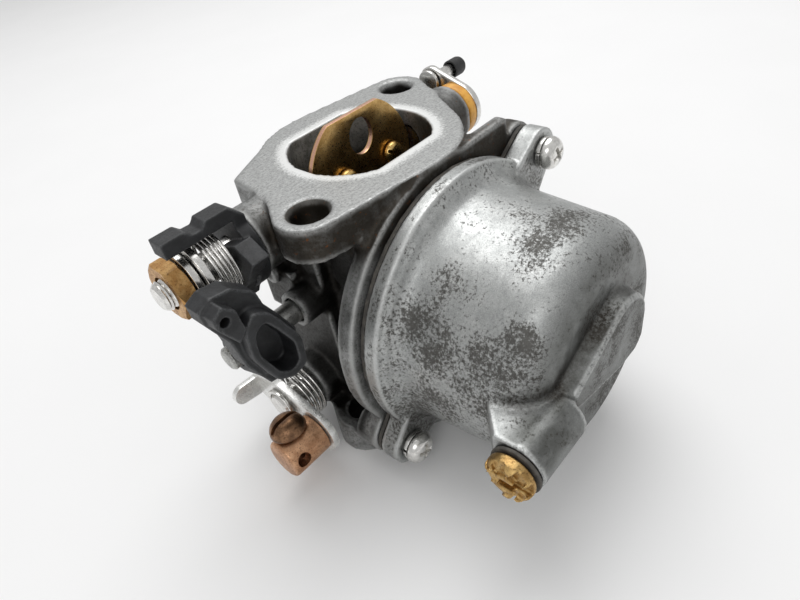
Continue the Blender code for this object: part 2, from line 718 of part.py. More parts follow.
def make_throttle_plate(screw_xs, axis):
    """The throttle disc across the bore, with its two screws facing up."""
    y, z = THROTTLE_Y, THROTTLE_Z
    half = PLATE_THICKNESS / 2
    disc = cylinder("throttle_plate", THROTTLE_RADIUS - 0.35, (0, y - 1, z - half), (0, y - 1, z + half), 40)
    holes = [cylinder(f"throttle_plate_hole_{x}", 1.8, (x, y, z - 3), (x, y, z + 3), 14)
             for x in screw_xs]
    cut(disc, *holes)
    finish(disc, BRASS, axis)
    under_head = z + half + GAP
    for index, x in enumerate(screw_xs, 1):
        seat = (x, y, under_head)
        screw = pan_head(f"throttle_plate_screw_{index}", 2.5, 1.6, seat, (0, 0, 1), 1.3, 3.6, 20)
        slot_low = (x - 3, y - 0.35, under_head + 0.9)
        slot_high = (x + 3, y + 0.35, under_head + 2.2)
        cut(screw, box(f"throttle_screw_slot_{index}", slot_low, slot_high))
        finish(screw, BRASS, axis)


def make_throttle_lever(axis):
    """Zinc-plated lever with its retainer, and the return spring behind it."""
    y, z = THROTTLE_Y, THROTTLE_Z
    outline = hull_outline([(y, z, 6.0), (CLAMP_Y, CLAMP_Z, 5.6), (y + 8.6, z + 1.2, 2.8)], 28)
    lever = flat_plate("throttle_lever", outline, "YZ", -36.6, -35.0)
    tab_outline = hull_outline([(-37.2, z + 0.9, 2.6), (-40.8, z + 1.3, 2.4)], 20)
    tab = flat_plate("throttle_lever_tab", tab_outline, "XZ", y + 8.6, y + 10.0)
    join(lever, tab)
    cut(lever, rod_x("throttle_lever_bore", SHAFT_RADIUS + GAP, -38, -33, y, z, 24),
        rod_x("clamp_pivot_hole", 2.3, -38, -33, CLAMP_Y, CLAMP_Z, 16))
    finish(lever, STEEL, axis)
    start, end = (-36.9, y, z), (-37.6, y, z)
    retainer = washer("throttle_retainer", 4.2, SHAFT_RADIUS + GAP, start, end, 20)
    finish(retainer, STEEL, axis)
    coil = coil_points((-34.3, y, z), (-29.9, y, z), 6.6, 4, 9)
    finish(wire("throttle_spring", coil, 0.4), STEEL, axis)


def make_cable_clamp():
    """The barrel that holds the throttle cable, with its clamp screw."""
    swivel = axis_empty("cable_clamp_axis", (-40, CLAMP_Y, CLAMP_Z))
    profile = [(0, 9.3), (3.9, 9.3), (4.5, 8.7), (4.5, 0), (1.9, 0), (1.9, -2.9), (0, -2.9)]
    barrel = turned("cable_barrel", profile, (-36.9, CLAMP_Y, CLAMP_Z), (-1, 0, 0), 32)
    lean = math.radians(CLAMP_LEAN)
    up = Vector((0, math.sin(lean), math.cos(lean)))
    across = Vector((0, math.cos(lean), -math.sin(lean)))
    centre = Vector((-42.0, CLAMP_Y, CLAMP_Z))
    cable = Vector((-43.6, CLAMP_Y, CLAMP_Z))
    cut(barrel, cylinder("clamp_screw_hole", 2.3, centre - up * 1.5, centre + up * 6, 20),
        cylinder("cable_hole", 1.6, cable - across * 6, cable + across * 6, 16))
    finish(barrel, COPPER, swivel)
    screw = pan_head("cable_screw", 4.0, 3.2, centre + up * 5.2, up, 2.0, 5.6, 24)
    slot = box("cable_screw_slot", (-6, -0.55, -1.6), (6, 0.55, 1.6))
    slot.rotation_mode = "QUATERNION"
    slot.rotation_quaternion = turn_to(up)
    slot.location = (centre + up * 8.4) * MM
    cut(screw, slot)
    finish(screw, COPPER, swivel)


def make_throttle_stop(axis):
    """Stop lever on the throttle shaft's far end."""
    y, z = THROTTLE_Y, THROTTLE_Z
    outline = hull_outline([(y, z, 4.6), (STOP_Y, STOP_TIP_Z - STOP_TIP_RADIUS, STOP_TIP_RADIUS)], 24)
    lever = flat_plate("throttle_stop_lever", outline, "YZ", 28.7, 30.4)
    cut(lever, rod_x("stop_lever_bore", SHAFT_RADIUS + GAP, 25, 33, y, z, 20))
    finish(lever, STEEL, axis)


def make_idle_speed_screw():
    """Idle speed screw over the stop lever's tip, with its spring."""
    stop_axis = axis_empty("stop_screw_axis", (STOP_X, STOP_Y, 30))
    under_head = 38.6
    length = under_head - STOP_TIP_Z - GAP
    seat = (STOP_X, STOP_Y, under_head)
    screw = pan_head("idle_speed_screw", 3.4, 2.6, seat, (0, 0, 1), 1.9, length)
    slot_low = (STOP_X - 5, STOP_Y - 0.5, under_head + 1.5)
    slot_high = (STOP_X + 5, STOP_Y + 0.5, under_head + 4)
    cut(screw, box("idle_speed_slot", slot_low, slot_high))
    finish(screw, BRASS, stop_axis)
    coil = coil_points((STOP_X, STOP_Y, 32.9), (STOP_X, STOP_Y, under_head - 0.8), 2.75, 4, 8)
    finish(wire("idle_speed_spring", coil, 0.35), STEEL)


# ---------------------------------------------------------------- fast idle cam

CAM_OUTLINE = [(-50.4, 56.2), (-50.2, 53.4), (-47.6, 47.6), (-46.6, 41.0), (-43.6, 34.4),
               (-36.6, 33.4), (-35.3, 41.7), (-37.9, 47.2), (-39.6, 50.4), (-40.2, 53.6),
               (-44.0, 56.8), (-47.8, 57.4)]
CAM_RIM = [(-45.9, 49.6), (-46.1, 43.6), (-43.4, 36.4), (-40.0, 34.4), (-36.6, 35.4),
           (-36.2, 41.6), (-38.8, 47.4), (-40.6, 50.6), (-43.4, 52.2)]
CAM_POCKET = [(-44.3, 48.0), (-44.7, 43.8), (-42.3, 37.6), (-40.0, 36.1), (-38.1, 36.9),
              (-37.8, 41.2), (-40.2, 46.4), (-42.0, 49.4)]
CAM_HOOK = [(-50.0, 55.8), (-49.8, 53.6), (-47.2, 48.9), (-45.4, 50.6), (-45.8, 55.0),
            (-47.8, 57.0)]


def make_cam():
    """The pin and the black lever that turns on it, with a pocket and a hook in its face."""
    pin = rod_x("cam_pivot_pin", CAM_PIN_RADIUS, -46.0, -22.2, CAM_Y, CAM_Z, 20)
    finish(pin, STEEL)
    axis = axis_empty("cam_axis", (-40, CAM_Y, CAM_Z))
    lever = flat_plate("cam_lever", CAM_OUTLINE, "XZ", -13.6, -9.4)
    hub_outline = hull_outline([(CAM_Y, CAM_Z, 4.0), (-11.5, 38, 2.5)], 20)
    hub = flat_plate("cam_hub", hub_outline, "YZ", -44.2, -36.2)
    rim = flat_plate("cam_rim", CAM_RIM, "XZ", -16.2, -13.0)
    hook = flat_plate("cam_hook", CAM_HOOK, "XZ", -16.6, -13.1)
    join(lever, hub, rim, hook)
    pocket = flat_plate("cam_pocket", CAM_POCKET, "XZ", -18.0, -11.6)
    bore = rod_x("cam_bore", CAM_PIN_RADIUS + GAP, -50, -30, CAM_Y, CAM_Z, 20)
    hook_hole = cylinder("cam_small_hole", 0.9, (-48.2, -20, 54.2), (-48.2, -5, 54.2), 12)
    cut(lever, pocket, bore, hook_hole)
    finish(lever, BLACK, axis)


# ---------------------------------------------------------------- float chamber

def make_float():
    axis = axis_empty("float_axis", (0, FLOAT_PIN_Y, FLOAT_PIN_Z))
    pin = rod_x("float_pin", 0.8, -8.6, 8.6, FLOAT_PIN_Y, FLOAT_PIN_Z, 12)
    finish(pin, STEEL)
    ring = washer("float", 19.4, 8.6, (0, -45.0, BOWL_Z), (0, -34.5, BOWL_Z), 32)
    cut(ring, box("float_notch", (-4.2, -50, BOWL_Z - 24), (4.2, -32, BOWL_Z)))
    arm = box("float_arm", (-3.4, -31.0, 36.5), (3.4, -29.3, FLOAT_PIN_Z + 0.8))
    post = box("float_post", (-3.0, -37.0, 38.3), (3.0, -30.0, 40.7))
    eye = rod_x("float_eye", 2.0, -3.8, 3.8, FLOAT_PIN_Y, FLOAT_PIN_Z, 16)
    join(ring, post, arm, eye)
    cut(ring, rod_x("float_eye_bore", 1.1, -5, 5, FLOAT_PIN_Y, FLOAT_PIN_Z, 12))
    finish(ring, BLACK, axis)


def make_fuel_parts():
    seat = turned("valve_seat", [(1.5, -18.4), (3.2, -18.4), (3.2, -26.0), (1.5, -26.0)],
                  (0, 0, NEEDLE_Z), (0, 1, 0), 20, closed=True)
    finish(seat, BRASS)
    slide = axis_empty("needle_axis", (0, -25, NEEDLE_Z))
    needle = turned("needle_valve", [(0, -20.5), (1.2, -23.0), (1.2, -28.9), (0, -28.9)],
                    (0, 0, NEEDLE_Z), (0, 1, 0), 16)
    finish(needle, STEEL, slide)
    nozzle = washer("main_nozzle", 2.4, 1.0, (0, -9.0, BOWL_Z), (0, -36.0, BOWL_Z), 20)
    finish(nozzle, BRASS)
    jet = washer("main_jet", 2.4, 0.6, (0, -36.4, BOWL_Z), (0, -41.2, BOWL_Z), 20)
    finish(jet, BRASS)
    pilot = washer("pilot_jet", 1.6, 0.5, (12, -20, BOWL_Z), (12, -30.2, BOWL_Z), 16)
    finish(pilot, BRASS)
    profile = [(1.5, 16.0), (2.2, 16.0), (2.9, 13.6), (2.2, 13.4), (2.9, 11.0), (2.2, 10.8), (2.2, 3.6),
               (3.9, 3.6), (3.9, 2.2), (2.7, 2.2), (2.7, -4.0), (1.5, -4.0)]
    nipple = turned("fuel_inlet_nipple", profile, (25.2, -12, 20), (1, 0, 0), 20, closed=True)
    finish(nipple, BRASS)


def make_mixture_screw():
    axis = axis_empty("mixture_axis", (9, 20, 9))
    screw = pan_head("idle_mixture_screw", 2.9, 2.4, (9, 28.6, 9), (0, 1, 0), 1.5, 15.5, 20)
    cut(screw, box("mixture_slot", (5, 30, 8.6), (13, 32, 9.4)))
    finish(screw, BRASS, axis)
    coil = coil_points((9, 23.2, 9), (9, 27.9, 9), 2.2, 4, 8)
    finish(wire("idle_mixture_spring", coil, 0.3), STEEL)


make_body()
make_bowl()
make_gasket()
make_bowl_screws()
make_drain_plug()
make_choke()
make_throttle()
make_cam()
make_float()
make_fuel_parts()
make_mixture_screw()
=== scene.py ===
"""Looks of the float-bowl carburetor: finely rounded pieces, worn metal and plastic, pale studio.

Shapes are drawn in millimetres in the bore frame, whose origin is the centre of the engine flange
face, and settle() moves each one to its place in the row frame.
"""

import math

import bmesh
import bpy
import numpy as np
from mathutils import Matrix, Vector
from mathutils.bvhtree import BVHTree
from mathutils.kdtree import KDTree


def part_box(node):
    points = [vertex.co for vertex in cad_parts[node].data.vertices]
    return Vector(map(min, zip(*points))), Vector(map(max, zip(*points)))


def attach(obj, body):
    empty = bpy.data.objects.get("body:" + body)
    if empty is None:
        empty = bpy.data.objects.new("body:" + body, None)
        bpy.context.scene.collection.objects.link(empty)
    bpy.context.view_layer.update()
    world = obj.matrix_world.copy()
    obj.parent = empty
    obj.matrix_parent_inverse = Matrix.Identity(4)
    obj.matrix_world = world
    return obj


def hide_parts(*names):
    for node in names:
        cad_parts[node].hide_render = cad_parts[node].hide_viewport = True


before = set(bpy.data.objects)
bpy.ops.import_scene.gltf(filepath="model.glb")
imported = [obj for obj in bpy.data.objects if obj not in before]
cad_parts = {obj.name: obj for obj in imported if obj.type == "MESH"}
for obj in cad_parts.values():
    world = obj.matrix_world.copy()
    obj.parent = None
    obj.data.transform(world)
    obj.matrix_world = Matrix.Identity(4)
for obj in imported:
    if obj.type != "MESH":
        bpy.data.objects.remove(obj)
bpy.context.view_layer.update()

MM = 0.001

# Body and flanges.
HEIGHT = 60.0
STUDS = ((24.7, 11.8), (-24.7, -11.8))
STUD_EAR = 6.6
FLANGE_RADIUS = 21.5
INLET_FLANGE = 7.0
ENGINE_FLANGE = 8.0
BARREL_RADIUS = 18.5
MOUTH_RADIUS = 15.0
MOUTH_FLAT = 13.0
SHAFT = 3.0
CHOKE = (0.7, 53.0)
THROTTLE = (1.0, 12.0)
PLATE_HALF = 0.6

# Smaller axes: the fast idle lever's and the cable clamp's along X, the speed screw's along Z,
# the mixture screw's along Y and the fuel inlet's along X.
CAM = (-4.3, 37.0)
CAM_PIN = 2.4
CLAMP = (-9.5, 10.0)
CLAMP_LEAN = 12.0
STOP_X = 29.6
STOP_Y = 3.6
MIXTURE = (9.0, 9.0)
FUEL = (-12.0, 20.0)

# Float bowl, about an axis along Y.
BOWL_Z = 28.3
COVER_FACE = -21.6
COVER_TOP = -17.6
BOWL_TOP = -23.0
BOWL_END = -55.4
BOWL_END_RADIUS = 24.4
BOWL_FILLET = 7.6
BOWL_WALL = 2.2
JOINT_STEP = 0.8
SCREW_EAR = 4.9
LOCK_DEPTH = 0.9
EAR_FACE = -27.4
PAD_FACE = -58.8
SCREW_SPOTS = ((25.5, 51.2), (-25.8, 7.7))
DRAIN_Y = -56.6
DRAIN_END_X = -29.6
DRAIN_RADIUS = 4.8
DRAIN_SEAL = 0.6
GAP = 0.3

FINE = 64
TOOLS = []


def bore_centre():
    """The bore's axis in the row frame, from the throttle screw holes' middle."""
    low_1, high_1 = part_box("throttle_plate_screw_1")
    low_2, high_2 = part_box("throttle_plate_screw_2")
    middle = (low_1 + high_1 + low_2 + high_2) / 4
    return Vector((middle.x, middle.y - THROTTLE[0] * MM, 0.0))


BORE = bore_centre()


# ---------------------------------------------------------------- shapes

def new_object(name, data):
    obj = bpy.data.objects.new(name, data)
    bpy.context.scene.collection.objects.link(obj)
    return obj


def turn_to(direction):
    return Vector((0, 0, 1)).rotation_difference(Vector(direction).normalized())


def mesh_object(name, bm, matrix=None):
    """A mesh object in millimetres from a bmesh."""
    mesh = bpy.data.meshes.new(name)
    bmesh.ops.recalc_face_normals(bm, faces=bm.faces)
    bm.to_mesh(mesh)
    bm.free()
    if matrix is not None:
        mesh.transform(matrix)
    return new_object(name, mesh)


def rod(name, radius, start, end, sides=FINE, end_radius=None):
    """A rod or cone from one point to another."""
    start, end = Vector(start), Vector(end)
    length = (end - start).length
    bm = bmesh.new()
    top = radius if end_radius is None else end_radius
    bmesh.ops.create_cone(bm, cap_ends=True, segments=sides, radius1=radius, radius2=top,
                          depth=length)
    bmesh.ops.translate(bm, verts=bm.verts, vec=(0, 0, length / 2))
    turn = turn_to(end - start).to_matrix().to_4x4()
    return mesh_object(name, bm, Matrix.Translation(start) @ turn)


def rod_x(name, radius, x0, x1, y, z, sides=FINE):
    return rod(name, radius, (x0, y, z), (x1, y, z), sides)


def box(name, low, high):
    bm = bmesh.new()
    bmesh.ops.create_cube(bm, size=1.0)
    size = Vector(high) - Vector(low)
    bmesh.ops.scale(bm, vec=size, verts=bm.verts)
    return mesh_object(name, bm, Matrix.Translation((Vector(high) + Vector(low)) / 2))


def turned(name, profile, origin=(0, 0, 0), direction=(0, 0, 1), sides=FINE, closed=False):
    """A turned shape from (radius, height) pairs about an axis."""
    bm = bmesh.new()
    rings = []
    for radius, height in profile:
        if radius < 1e-6:
            rings.append([bm.verts.new((0, 0, height))])
            continue
        ring = []
        for step in range(sides):
            angle = 2 * math.pi * step / sides
            ring.append(bm.verts.new((radius * math.cos(angle), radius * math.sin(angle), height)))
        rings.append(ring)
    pairs = list(zip(rings, rings[1:]))
    if closed:
        pairs.append((rings[-1], rings[0]))
    for first, second in pairs:
        join_rings(bm, first, second, sides)
    matrix = Matrix.Translation(Vector(origin)) @ turn_to(direction).to_matrix().to_4x4()
    return mesh_object(name, bm, matrix)


def join_rings(bm, first, second, sides):
    for step in range(sides):
        after = (step + 1) % sides
        if len(first) == 1 and len(second) == 1:
            return
        if len(first) == 1:
            bm.faces.new((first[0], second[step], second[after]))
        elif len(second) == 1:
            bm.faces.new((first[step], first[after], second[0]))
        else:
            bm.faces.new((first[step], first[after], second[after], second[step]))


def disc_points(discs, sides):
    points = []
    for u, v, radius in discs:
        for step in range(sides):
            angle = 2 * math.pi * step / sides
            points.append((u + radius * math.cos(angle), v + radius * math.sin(angle)))
    return points


def convex_hull(points):
    """The convex outline round a set of points, with no three of them in line."""

    def half(run):
        chain = []
        for point in run:
            while len(chain) > 1:
                a, b = chain[-2], chain[-1]
                if (b[0] - a[0]) * (point[1] - a[1]) - (b[1] - a[1]) * (point[0] - a[0]) > 1e-6:
                    break
                chain.pop()
            chain.append(point)
        return chain[:-1]

    ordered = sorted((round(u, 5), round(v, 5)) for u, v in points)
    return half(ordered) + half(ordered[::-1])


def hull(discs, sides=96):
    return convex_hull(disc_points(discs, sides))


PLANES = {
    "XY": lambda u, v, w: (u, v, w),
    "XZ": lambda u, v, w: (u, w, v),
    "YZ": lambda u, v, w: (w, u, v),
}


def plate(name, outline, plane, low, high):
    """A flat outline in the XY, XZ or YZ plane, thickened from low to high across it."""
    bm = bmesh.new()
    spot = PLANES[plane]
    bottom = [bm.verts.new(spot(u, v, low)) for u, v in outline]
    top = [bm.verts.new(spot(u, v, high)) for u, v in outline]
    bm.faces.new(bottom)
    bm.faces.new(top[::-1])
    count = len(outline)
    for index in range(count):
        after = (index + 1) % count
        bm.faces.new((bottom[index], top[index], top[after], bottom[after]))
    return mesh_object(name, bm)


def arc(centre, radius, start_degrees, end_degrees, steps):
    points = []
    for step in range(steps + 1):
        angle = math.radians(start_degrees + (end_degrees - start_degrees) * step / steps)
        points.append((centre[0] + radius * math.cos(angle), centre[1] + radius * math.sin(angle)))
    return points


def round_corners(outline, radius, steps=4):
    """An outline with each corner cut back to a short curve."""
    points = []
    count = len(outline)
    for index in range(count):
        here = Vector(outline[index])
        before = Vector(outline[index - 1]) - here
        after = Vector(outline[(index + 1) % count]) - here
        reach = min(radius, before.length * 0.45, after.length * 0.45)
        start = here + before.normalized() * reach
        end = here + after.normalized() * reach
        for step in range(steps + 1):
            t = step / steps
            points.append(tuple((1 - t) ** 2 * start + 2 * t * (1 - t) * here + t ** 2 * end))
    return points


def truncated_disc(radius, flat, steps=40):
    corner = math.degrees(math.asin(flat / radius))
    right = arc((0, 0), radius, -corner, corner, steps)
    return right + arc((0, 0), radius, 180 - corner, 180 + corner, steps)


def coil(name, start, end, radius, turns, wire_radius):
    """A coil spring of round wire about the line from start to end."""
    start, end = Vector(start), Vector(end)
    turn = turn_to(end - start)
    per_turn = 40
    count = int(turns * per_turn)
    curve = bpy.data.curves.new(name, "CURVE")
    curve.dimensions = "3D"
    curve.bevel_depth = wire_radius
    curve.bevel_resolution = 4
    curve.use_fill_caps = True
    spline = curve.splines.new("POLY")
    spline.points.add(count)
    for step in range(count + 1):
        angle = 2 * math.pi * step / per_turn
        offset = turn @ Vector((radius * math.cos(angle), radius * math.sin(angle), 0))
        spline.points[step].co = (*(start.lerp(end, step / count) + offset), 1.0)
    return new_object(name, curve)


def as_tool(obj):
    obj.hide_render = True
    TOOLS.append(obj)


def combine(obj, operation, others):
    for other in others:
        as_tool(other)
        boolean = obj.modifiers.new(operation.lower(), "BOOLEAN")
        boolean.operation = operation
        boolean.solver = "EXACT"
        boolean.object = other
    return bake(obj)


def join(obj, *others):
    return combine(obj, "UNION", others)


def cut(obj, *others):
    return combine(obj, "DIFFERENCE", others)


def bake(obj):
    """Turn an object with its modifiers into a plain mesh, and remove the tools it used."""
    bpy.context.view_layer.update()
    graph = bpy.context.evaluated_depsgraph_get()
    mesh = bpy.data.meshes.new_from_object(obj.evaluated_get(graph), depsgraph=graph)
    name = obj.name
    bpy.data.objects.remove(obj, do_unlink=True)
    for tool in TOOLS:
        bpy.data.objects.remove(tool, do_unlink=True)
    TOOLS.clear()
    return new_object(name, mesh)


def soften(obj, width=0.25, segments=3):
    """Round an object's sharp edges."""
    bevel = obj.modifiers.new("round", "BEVEL")
    bevel.width = width
    bevel.segments = segments
    bevel.limit_method = "ANGLE"
    bevel.angle_limit = math.radians(30)
    bevel.use_clamp_overlap = True
    bevel.harden_normals = False
    return bake(obj)


def cast(obj, voxel, smoothing):
    """Give a solid the rounded edges and fillets of a casting or moulding."""
    remesh = obj.modifiers.new("remesh", "REMESH")
    remesh.mode = "VOXEL"
    remesh.voxel_size = voxel
    remesh.use_smooth_shade = True
    smooth = obj.modifiers.new("smooth", "SMOOTH")
    smooth.factor = 0.5
    smooth.iterations = smoothing
    return bake(obj)


def settle(obj, node, body, material, smooth_angle=40):
    """Put a finished piece in the row frame, on its body, in place of its CAD node."""
    obj = obj if obj.type == "MESH" else bake(obj)
    mesh = obj.data
    mesh.transform(Matrix.Translation(BORE) @ Matrix.Scale(MM, 4))
    mesh.materials.clear()
    mesh.materials.append(MATERIALS[material])
    mesh.shade_smooth()
    if smooth_angle:
        mesh.set_sharp_from_angle(angle=math.radians(smooth_angle))
    obj.name = "vis_" + node
    mesh.name = obj.name
    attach(obj, body)
    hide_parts(node)
    return obj


# ---------------------------------------------------------------- masks

RAY_COUNT = 16
RAY_REACH = 16.0
SAMPLE_COUNT = 14000


def spread_directions(count):
    """Unit directions over a half sphere, more of them near its pole."""
    golden = math.pi * (3 - math.sqrt(5))
    found = []
    for index in range(count):
        share = (index + 0.5) / count
        radius = math.sqrt(share)
        found.append(Vector((radius * math.cos(golden * index), radius * math.sin(golden * index),
                             math.sqrt(1 - share))))
    return found


def blur(values, edges, degree, rounds):
    for _ in range(rounds):
        total = values.copy()
        np.add.at(total, edges[:, 0], values[edges[:, 1]])
        np.add.at(total, edges[:, 1], values[edges[:, 0]])
        values = total / (degree + 1)
    return values


def shape_masks(obj):
    """Store how sharp each point of a dense mesh is, and how far it lies in a recess."""
    mesh = obj.data
    count = len(mesh.vertices)
    points = np.empty(count * 3, np.float32)
    normals = np.empty(count * 3, np.float32)
    mesh.vertices.foreach_get("co", points)
    mesh.vertices.foreach_get("normal", normals)
    points, normals = points.reshape(-1, 3).astype(float), normals.reshape(-1, 3).astype(float)
    edges = np.empty(len(mesh.edges) * 2, np.int32)
    mesh.edges.foreach_get("vertices", edges)
    edges = edges.reshape(-1, 2)
    degree = np.bincount(edges.ravel(), minlength=count).astype(float)
    around = np.zeros_like(points)
    np.add.at(around, edges[:, 0], points[edges[:, 1]])
    np.add.at(around, edges[:, 1], points[edges[:, 0]])
    around /= np.maximum(degree, 1)[:, None]
    bend = ((points - around) * normals).sum(1)
    bend = blur(bend, edges, degree, 3)
    store(mesh, "edge", bend / np.abs(bend).max())
    store(mesh, "recess", recess_values(mesh, points, normals, edges, degree))


def recess_values(mesh, points, normals, edges, degree):
    faces = [tuple(face.vertices) for face in mesh.polygons]
    tree = BVHTree.FromPolygons([tuple(point) for point in points], faces)
    directions = spread_directions(RAY_COUNT)
    stride = max(1, len(points) // SAMPLE_COUNT)
    chosen = range(0, len(points), stride)
    near = KDTree(len(chosen))
    blocked = []
    for slot_index, index in enumerate(chosen):
        normal = Vector(normals[index])
        turn = turn_to(normal)
        start = Vector(points[index]) + normal * 0.05
        hits = 0.0
        for direction in directions:
            distance = tree.ray_cast(start, turn @ direction, RAY_REACH)[3]
            if distance is not None:
                hits += 1 - 0.5 * distance / RAY_REACH
        blocked.append(hits / RAY_COUNT)
        near.insert(start, slot_index)
    near.balance()
    values = np.empty(len(points))
    for index, point in enumerate(points):
        found = near.find_n(Vector(point), 3)
        values[index] = sum(blocked[item[1]] for item in found) / len(found)
    return blur(values, edges, degree, 4)


def store(mesh, name, values):
    attribute = mesh.attributes.new(name, "FLOAT", "POINT")
    attribute.data.foreach_set("value", values.astype(np.float32))


# ---------------------------------------------------------------- materials

class Paint:
    """A material's nodes, with short calls for the ones used here. Lengths are in millimetres."""

    def __init__(self, name, metallic=0.0):
        self.material = bpy.data.materials.new(name)
        self.material.use_nodes = True
        self.tree = self.material.node_tree
        self.shader = self.tree.nodes["Principled BSDF"]
        self.shader.inputs["Metallic"].default_value = metallic
        place = self.node("ShaderNodeTexCoord")
        self.normal = place.outputs["Normal"]
        scaled = self.node("ShaderNodeVectorMath", operation="SCALE")
        scaled.inputs["Scale"].default_value = 1000.0
        self.link(place.outputs["Object"], scaled.inputs[0])
        moved = self.node("ShaderNodeVectorMath", operation="SUBTRACT")
        moved.inputs[1].default_value = BORE / MM
        self.link(scaled.outputs[0], moved.inputs[0])
        self.mm = moved.outputs[0]

    def node(self, kind, **settings):
        made = self.tree.nodes.new(kind)
        for key, value in settings.items():
            setattr(made, key, value)
        return made

    def link(self, out, into):
        self.tree.links.new(out, into)

    def feed(self, value, into):
        if isinstance(value, bpy.types.NodeSocket):
            self.link(value, into)
        elif isinstance(value, tuple) and len(value) == 3 and into.type == "RGBA":
            into.default_value = (*value, 1.0)
        else:
            into.default_value = value

    def noise(self, scale, detail=4.0, roughness=0.6, vector=None, distortion=0.0):
        made = self.node("ShaderNodeTexNoise")
        self.feed(vector or self.mm, made.inputs["Vector"])
        made.inputs["Scale"].default_value = scale
        made.inputs["Detail"].default_value = detail
        made.inputs["Roughness"].default_value = roughness
        made.inputs["Distortion"].default_value = distortion
        return made.outputs["Fac"]

    def stretched(self, scale):
        made = self.node("ShaderNodeVectorMath", operation="MULTIPLY")
        self.link(self.mm, made.inputs[0])
        made.inputs[1].default_value = scale
        return made.outputs[0]

    def part(self, vector):
        made = self.node("ShaderNodeSeparateXYZ")
        self.link(vector, made.inputs[0])
        return made.outputs

    def math(self, operation, first, second=0.0):
        made = self.node("ShaderNodeMath", operation=operation)
        self.feed(first, made.inputs[0])
        self.feed(second, made.inputs[1])
        return made.outputs[0]

    def times(self, first, second):
        return self.math("MULTIPLY", first, second)

    def plus(self, first, second):
        return self.math("ADD", first, second)

    def minus(self, first, second):
        return self.math("SUBTRACT", first, second)

    def span(self, value, low, high, start=0.0, end=1.0):
        """value from low to high, turned into start to end and held there."""
        made = self.node("ShaderNodeMapRange", interpolation_type="SMOOTHSTEP")
        self.feed(value, made.inputs["Value"])
        limits = {"From Min": low, "From Max": high, "To Min": start, "To Max": end}
        for key, number in limits.items():
            made.inputs[key].default_value = number
        return made.outputs["Result"]

    def mix(self, share, first, second):
        made = self.node("ShaderNodeMix", data_type="RGBA")
        self.feed(share, made.inputs[0])
        self.feed(first, made.inputs[6])
        self.feed(second, made.inputs[7])
        return made.outputs[2]

    def stored(self, name):
        return self.node("ShaderNodeAttribute", attribute_name=name).outputs["Fac"]

    def distance(self, centre):
        made = self.node("ShaderNodeVectorMath", operation="DISTANCE")
        self.link(self.mm, made.inputs[0])
        made.inputs[1].default_value = centre
        return made.outputs["Value"]

    def colour(self, value):
        self.feed(value, self.shader.inputs["Base Color"])

    def rough(self, value):
        self.feed(value, self.shader.inputs["Roughness"])

    def bump(self, height, depth, strength=1.0):
        made = self.node("ShaderNodeBump")
        made.inputs["Strength"].default_value = strength
        made.inputs["Distance"].default_value = depth * MM
        self.feed(height, made.inputs["Height"])
        self.link(made.outputs[0], self.shader.inputs["Normal"])


# Where the bowl is corroded most: centre, reach and weight.
CORRODED = (
    ((-23.0, -34.3, 39.3), 7.5, 0.15), ((-22.6, -50.0, 40.1), 8.5, 0.12), ((-18.8, -50.5, 45.5), 5.5, 0.14),
    ((-4.7, -46.3, 53.4), 10.0, 0.20), ((-25.2, -44.3, 32.1), 7.0, 0.15), ((-3.0, -57.0, 40.0), 6.0, 0.15),
)


def bowl_metal():
    """Satin die-cast zinc with clusters of dark corrosion specks, and painted shade low down and in
    recesses.
    """
    p = Paint("cast_bowl", metallic=0.9)
    y, z = p.part(p.mm)[1:3]
    broad = p.noise(0.055, 2.0)
    blotch = p.noise(0.22, 5.0, 0.65, distortion=0.4)
    grain = p.noise(1.6, 6.0, 0.75)
    fine = p.noise(6.0, 3.0, 0.7)
    tone = p.mix(p.span(blotch, 0.35, 0.68), (0.34, 0.35, 0.345), (0.53, 0.54, 0.53))
    tone = p.mix(p.span(fine, 0.35, 0.7, 0.0, 0.35), tone, (0.72, 0.73, 0.72))
    tone = p.mix(p.span(fine, 0.6, 0.42, 0.0, 0.3), tone, (0.22, 0.225, 0.22))
    freckle = p.times(p.span(grain, 0.54, 0.62), p.span(blotch, 0.42, 0.6, 0.15, 0.7))
    tone = p.mix(freckle, tone, (0.15, 0.152, 0.148))
    # Painted shade: the bowl darker towards the floor, below z 24, and darker in blotches over its outer
    # end. The stronger of the two darkens the tone.
    outer_end = p.span(y, -51.5, -55.5)
    low = p.times(p.span(z, 24.0, 2.0), 0.55)
    floor_shade_and_dark_end = p.math("MAXIMUM", low, p.times(outer_end, p.span(blotch, 0.3, 0.6, 0.55, 0.95)))
    tone = p.mix(floor_shade_and_dark_end, tone, (0.105, 0.108, 0.102))
    cluster = p.plus(p.times(broad, 0.9), p.times(blotch, 0.55))
    for centre, reach, weight in CORRODED:
        near = p.span(p.distance(centre), reach, reach * 0.25, 0.0, weight)
        cluster = p.plus(cluster, near)
    speck = p.plus(cluster, p.times(grain, 1.3))
    speck = p.plus(speck, p.times(fine, 0.5))
    mask = p.span(speck, 1.66, 1.88)
    toned = p.mix(p.times(mask, 0.88), tone, (0.075, 0.071, 0.064))
    # Painted shade: near black brown in the recesses, from the stored recess value, broken up by the grain.
    recess_shade = p.times(p.span(p.stored("recess"), 0.08, 0.3), p.span(grain, 0.3, 0.6, 0.35, 1.0))
    toned = p.mix(recess_shade, toned, (0.035, 0.029, 0.023))
    edge = p.times(p.span(p.stored("edge"), 0.12, 0.42), p.span(grain, 0.3, 0.6))
    toned = p.mix(p.times(edge, 0.6), toned, (0.66, 0.67, 0.66))
    p.colour(toned)
    p.rough(p.plus(p.span(mask, 0.0, 1.0, 0.42, 0.64), p.span(blotch, 0.3, 0.7, 0.06, -0.04)))
    height = p.plus(p.times(grain, 0.5), p.times(fine, 0.35))
    height = p.minus(height, p.times(mask, 0.35))
    p.bump(height, 0.09, 0.55)
    return p.material


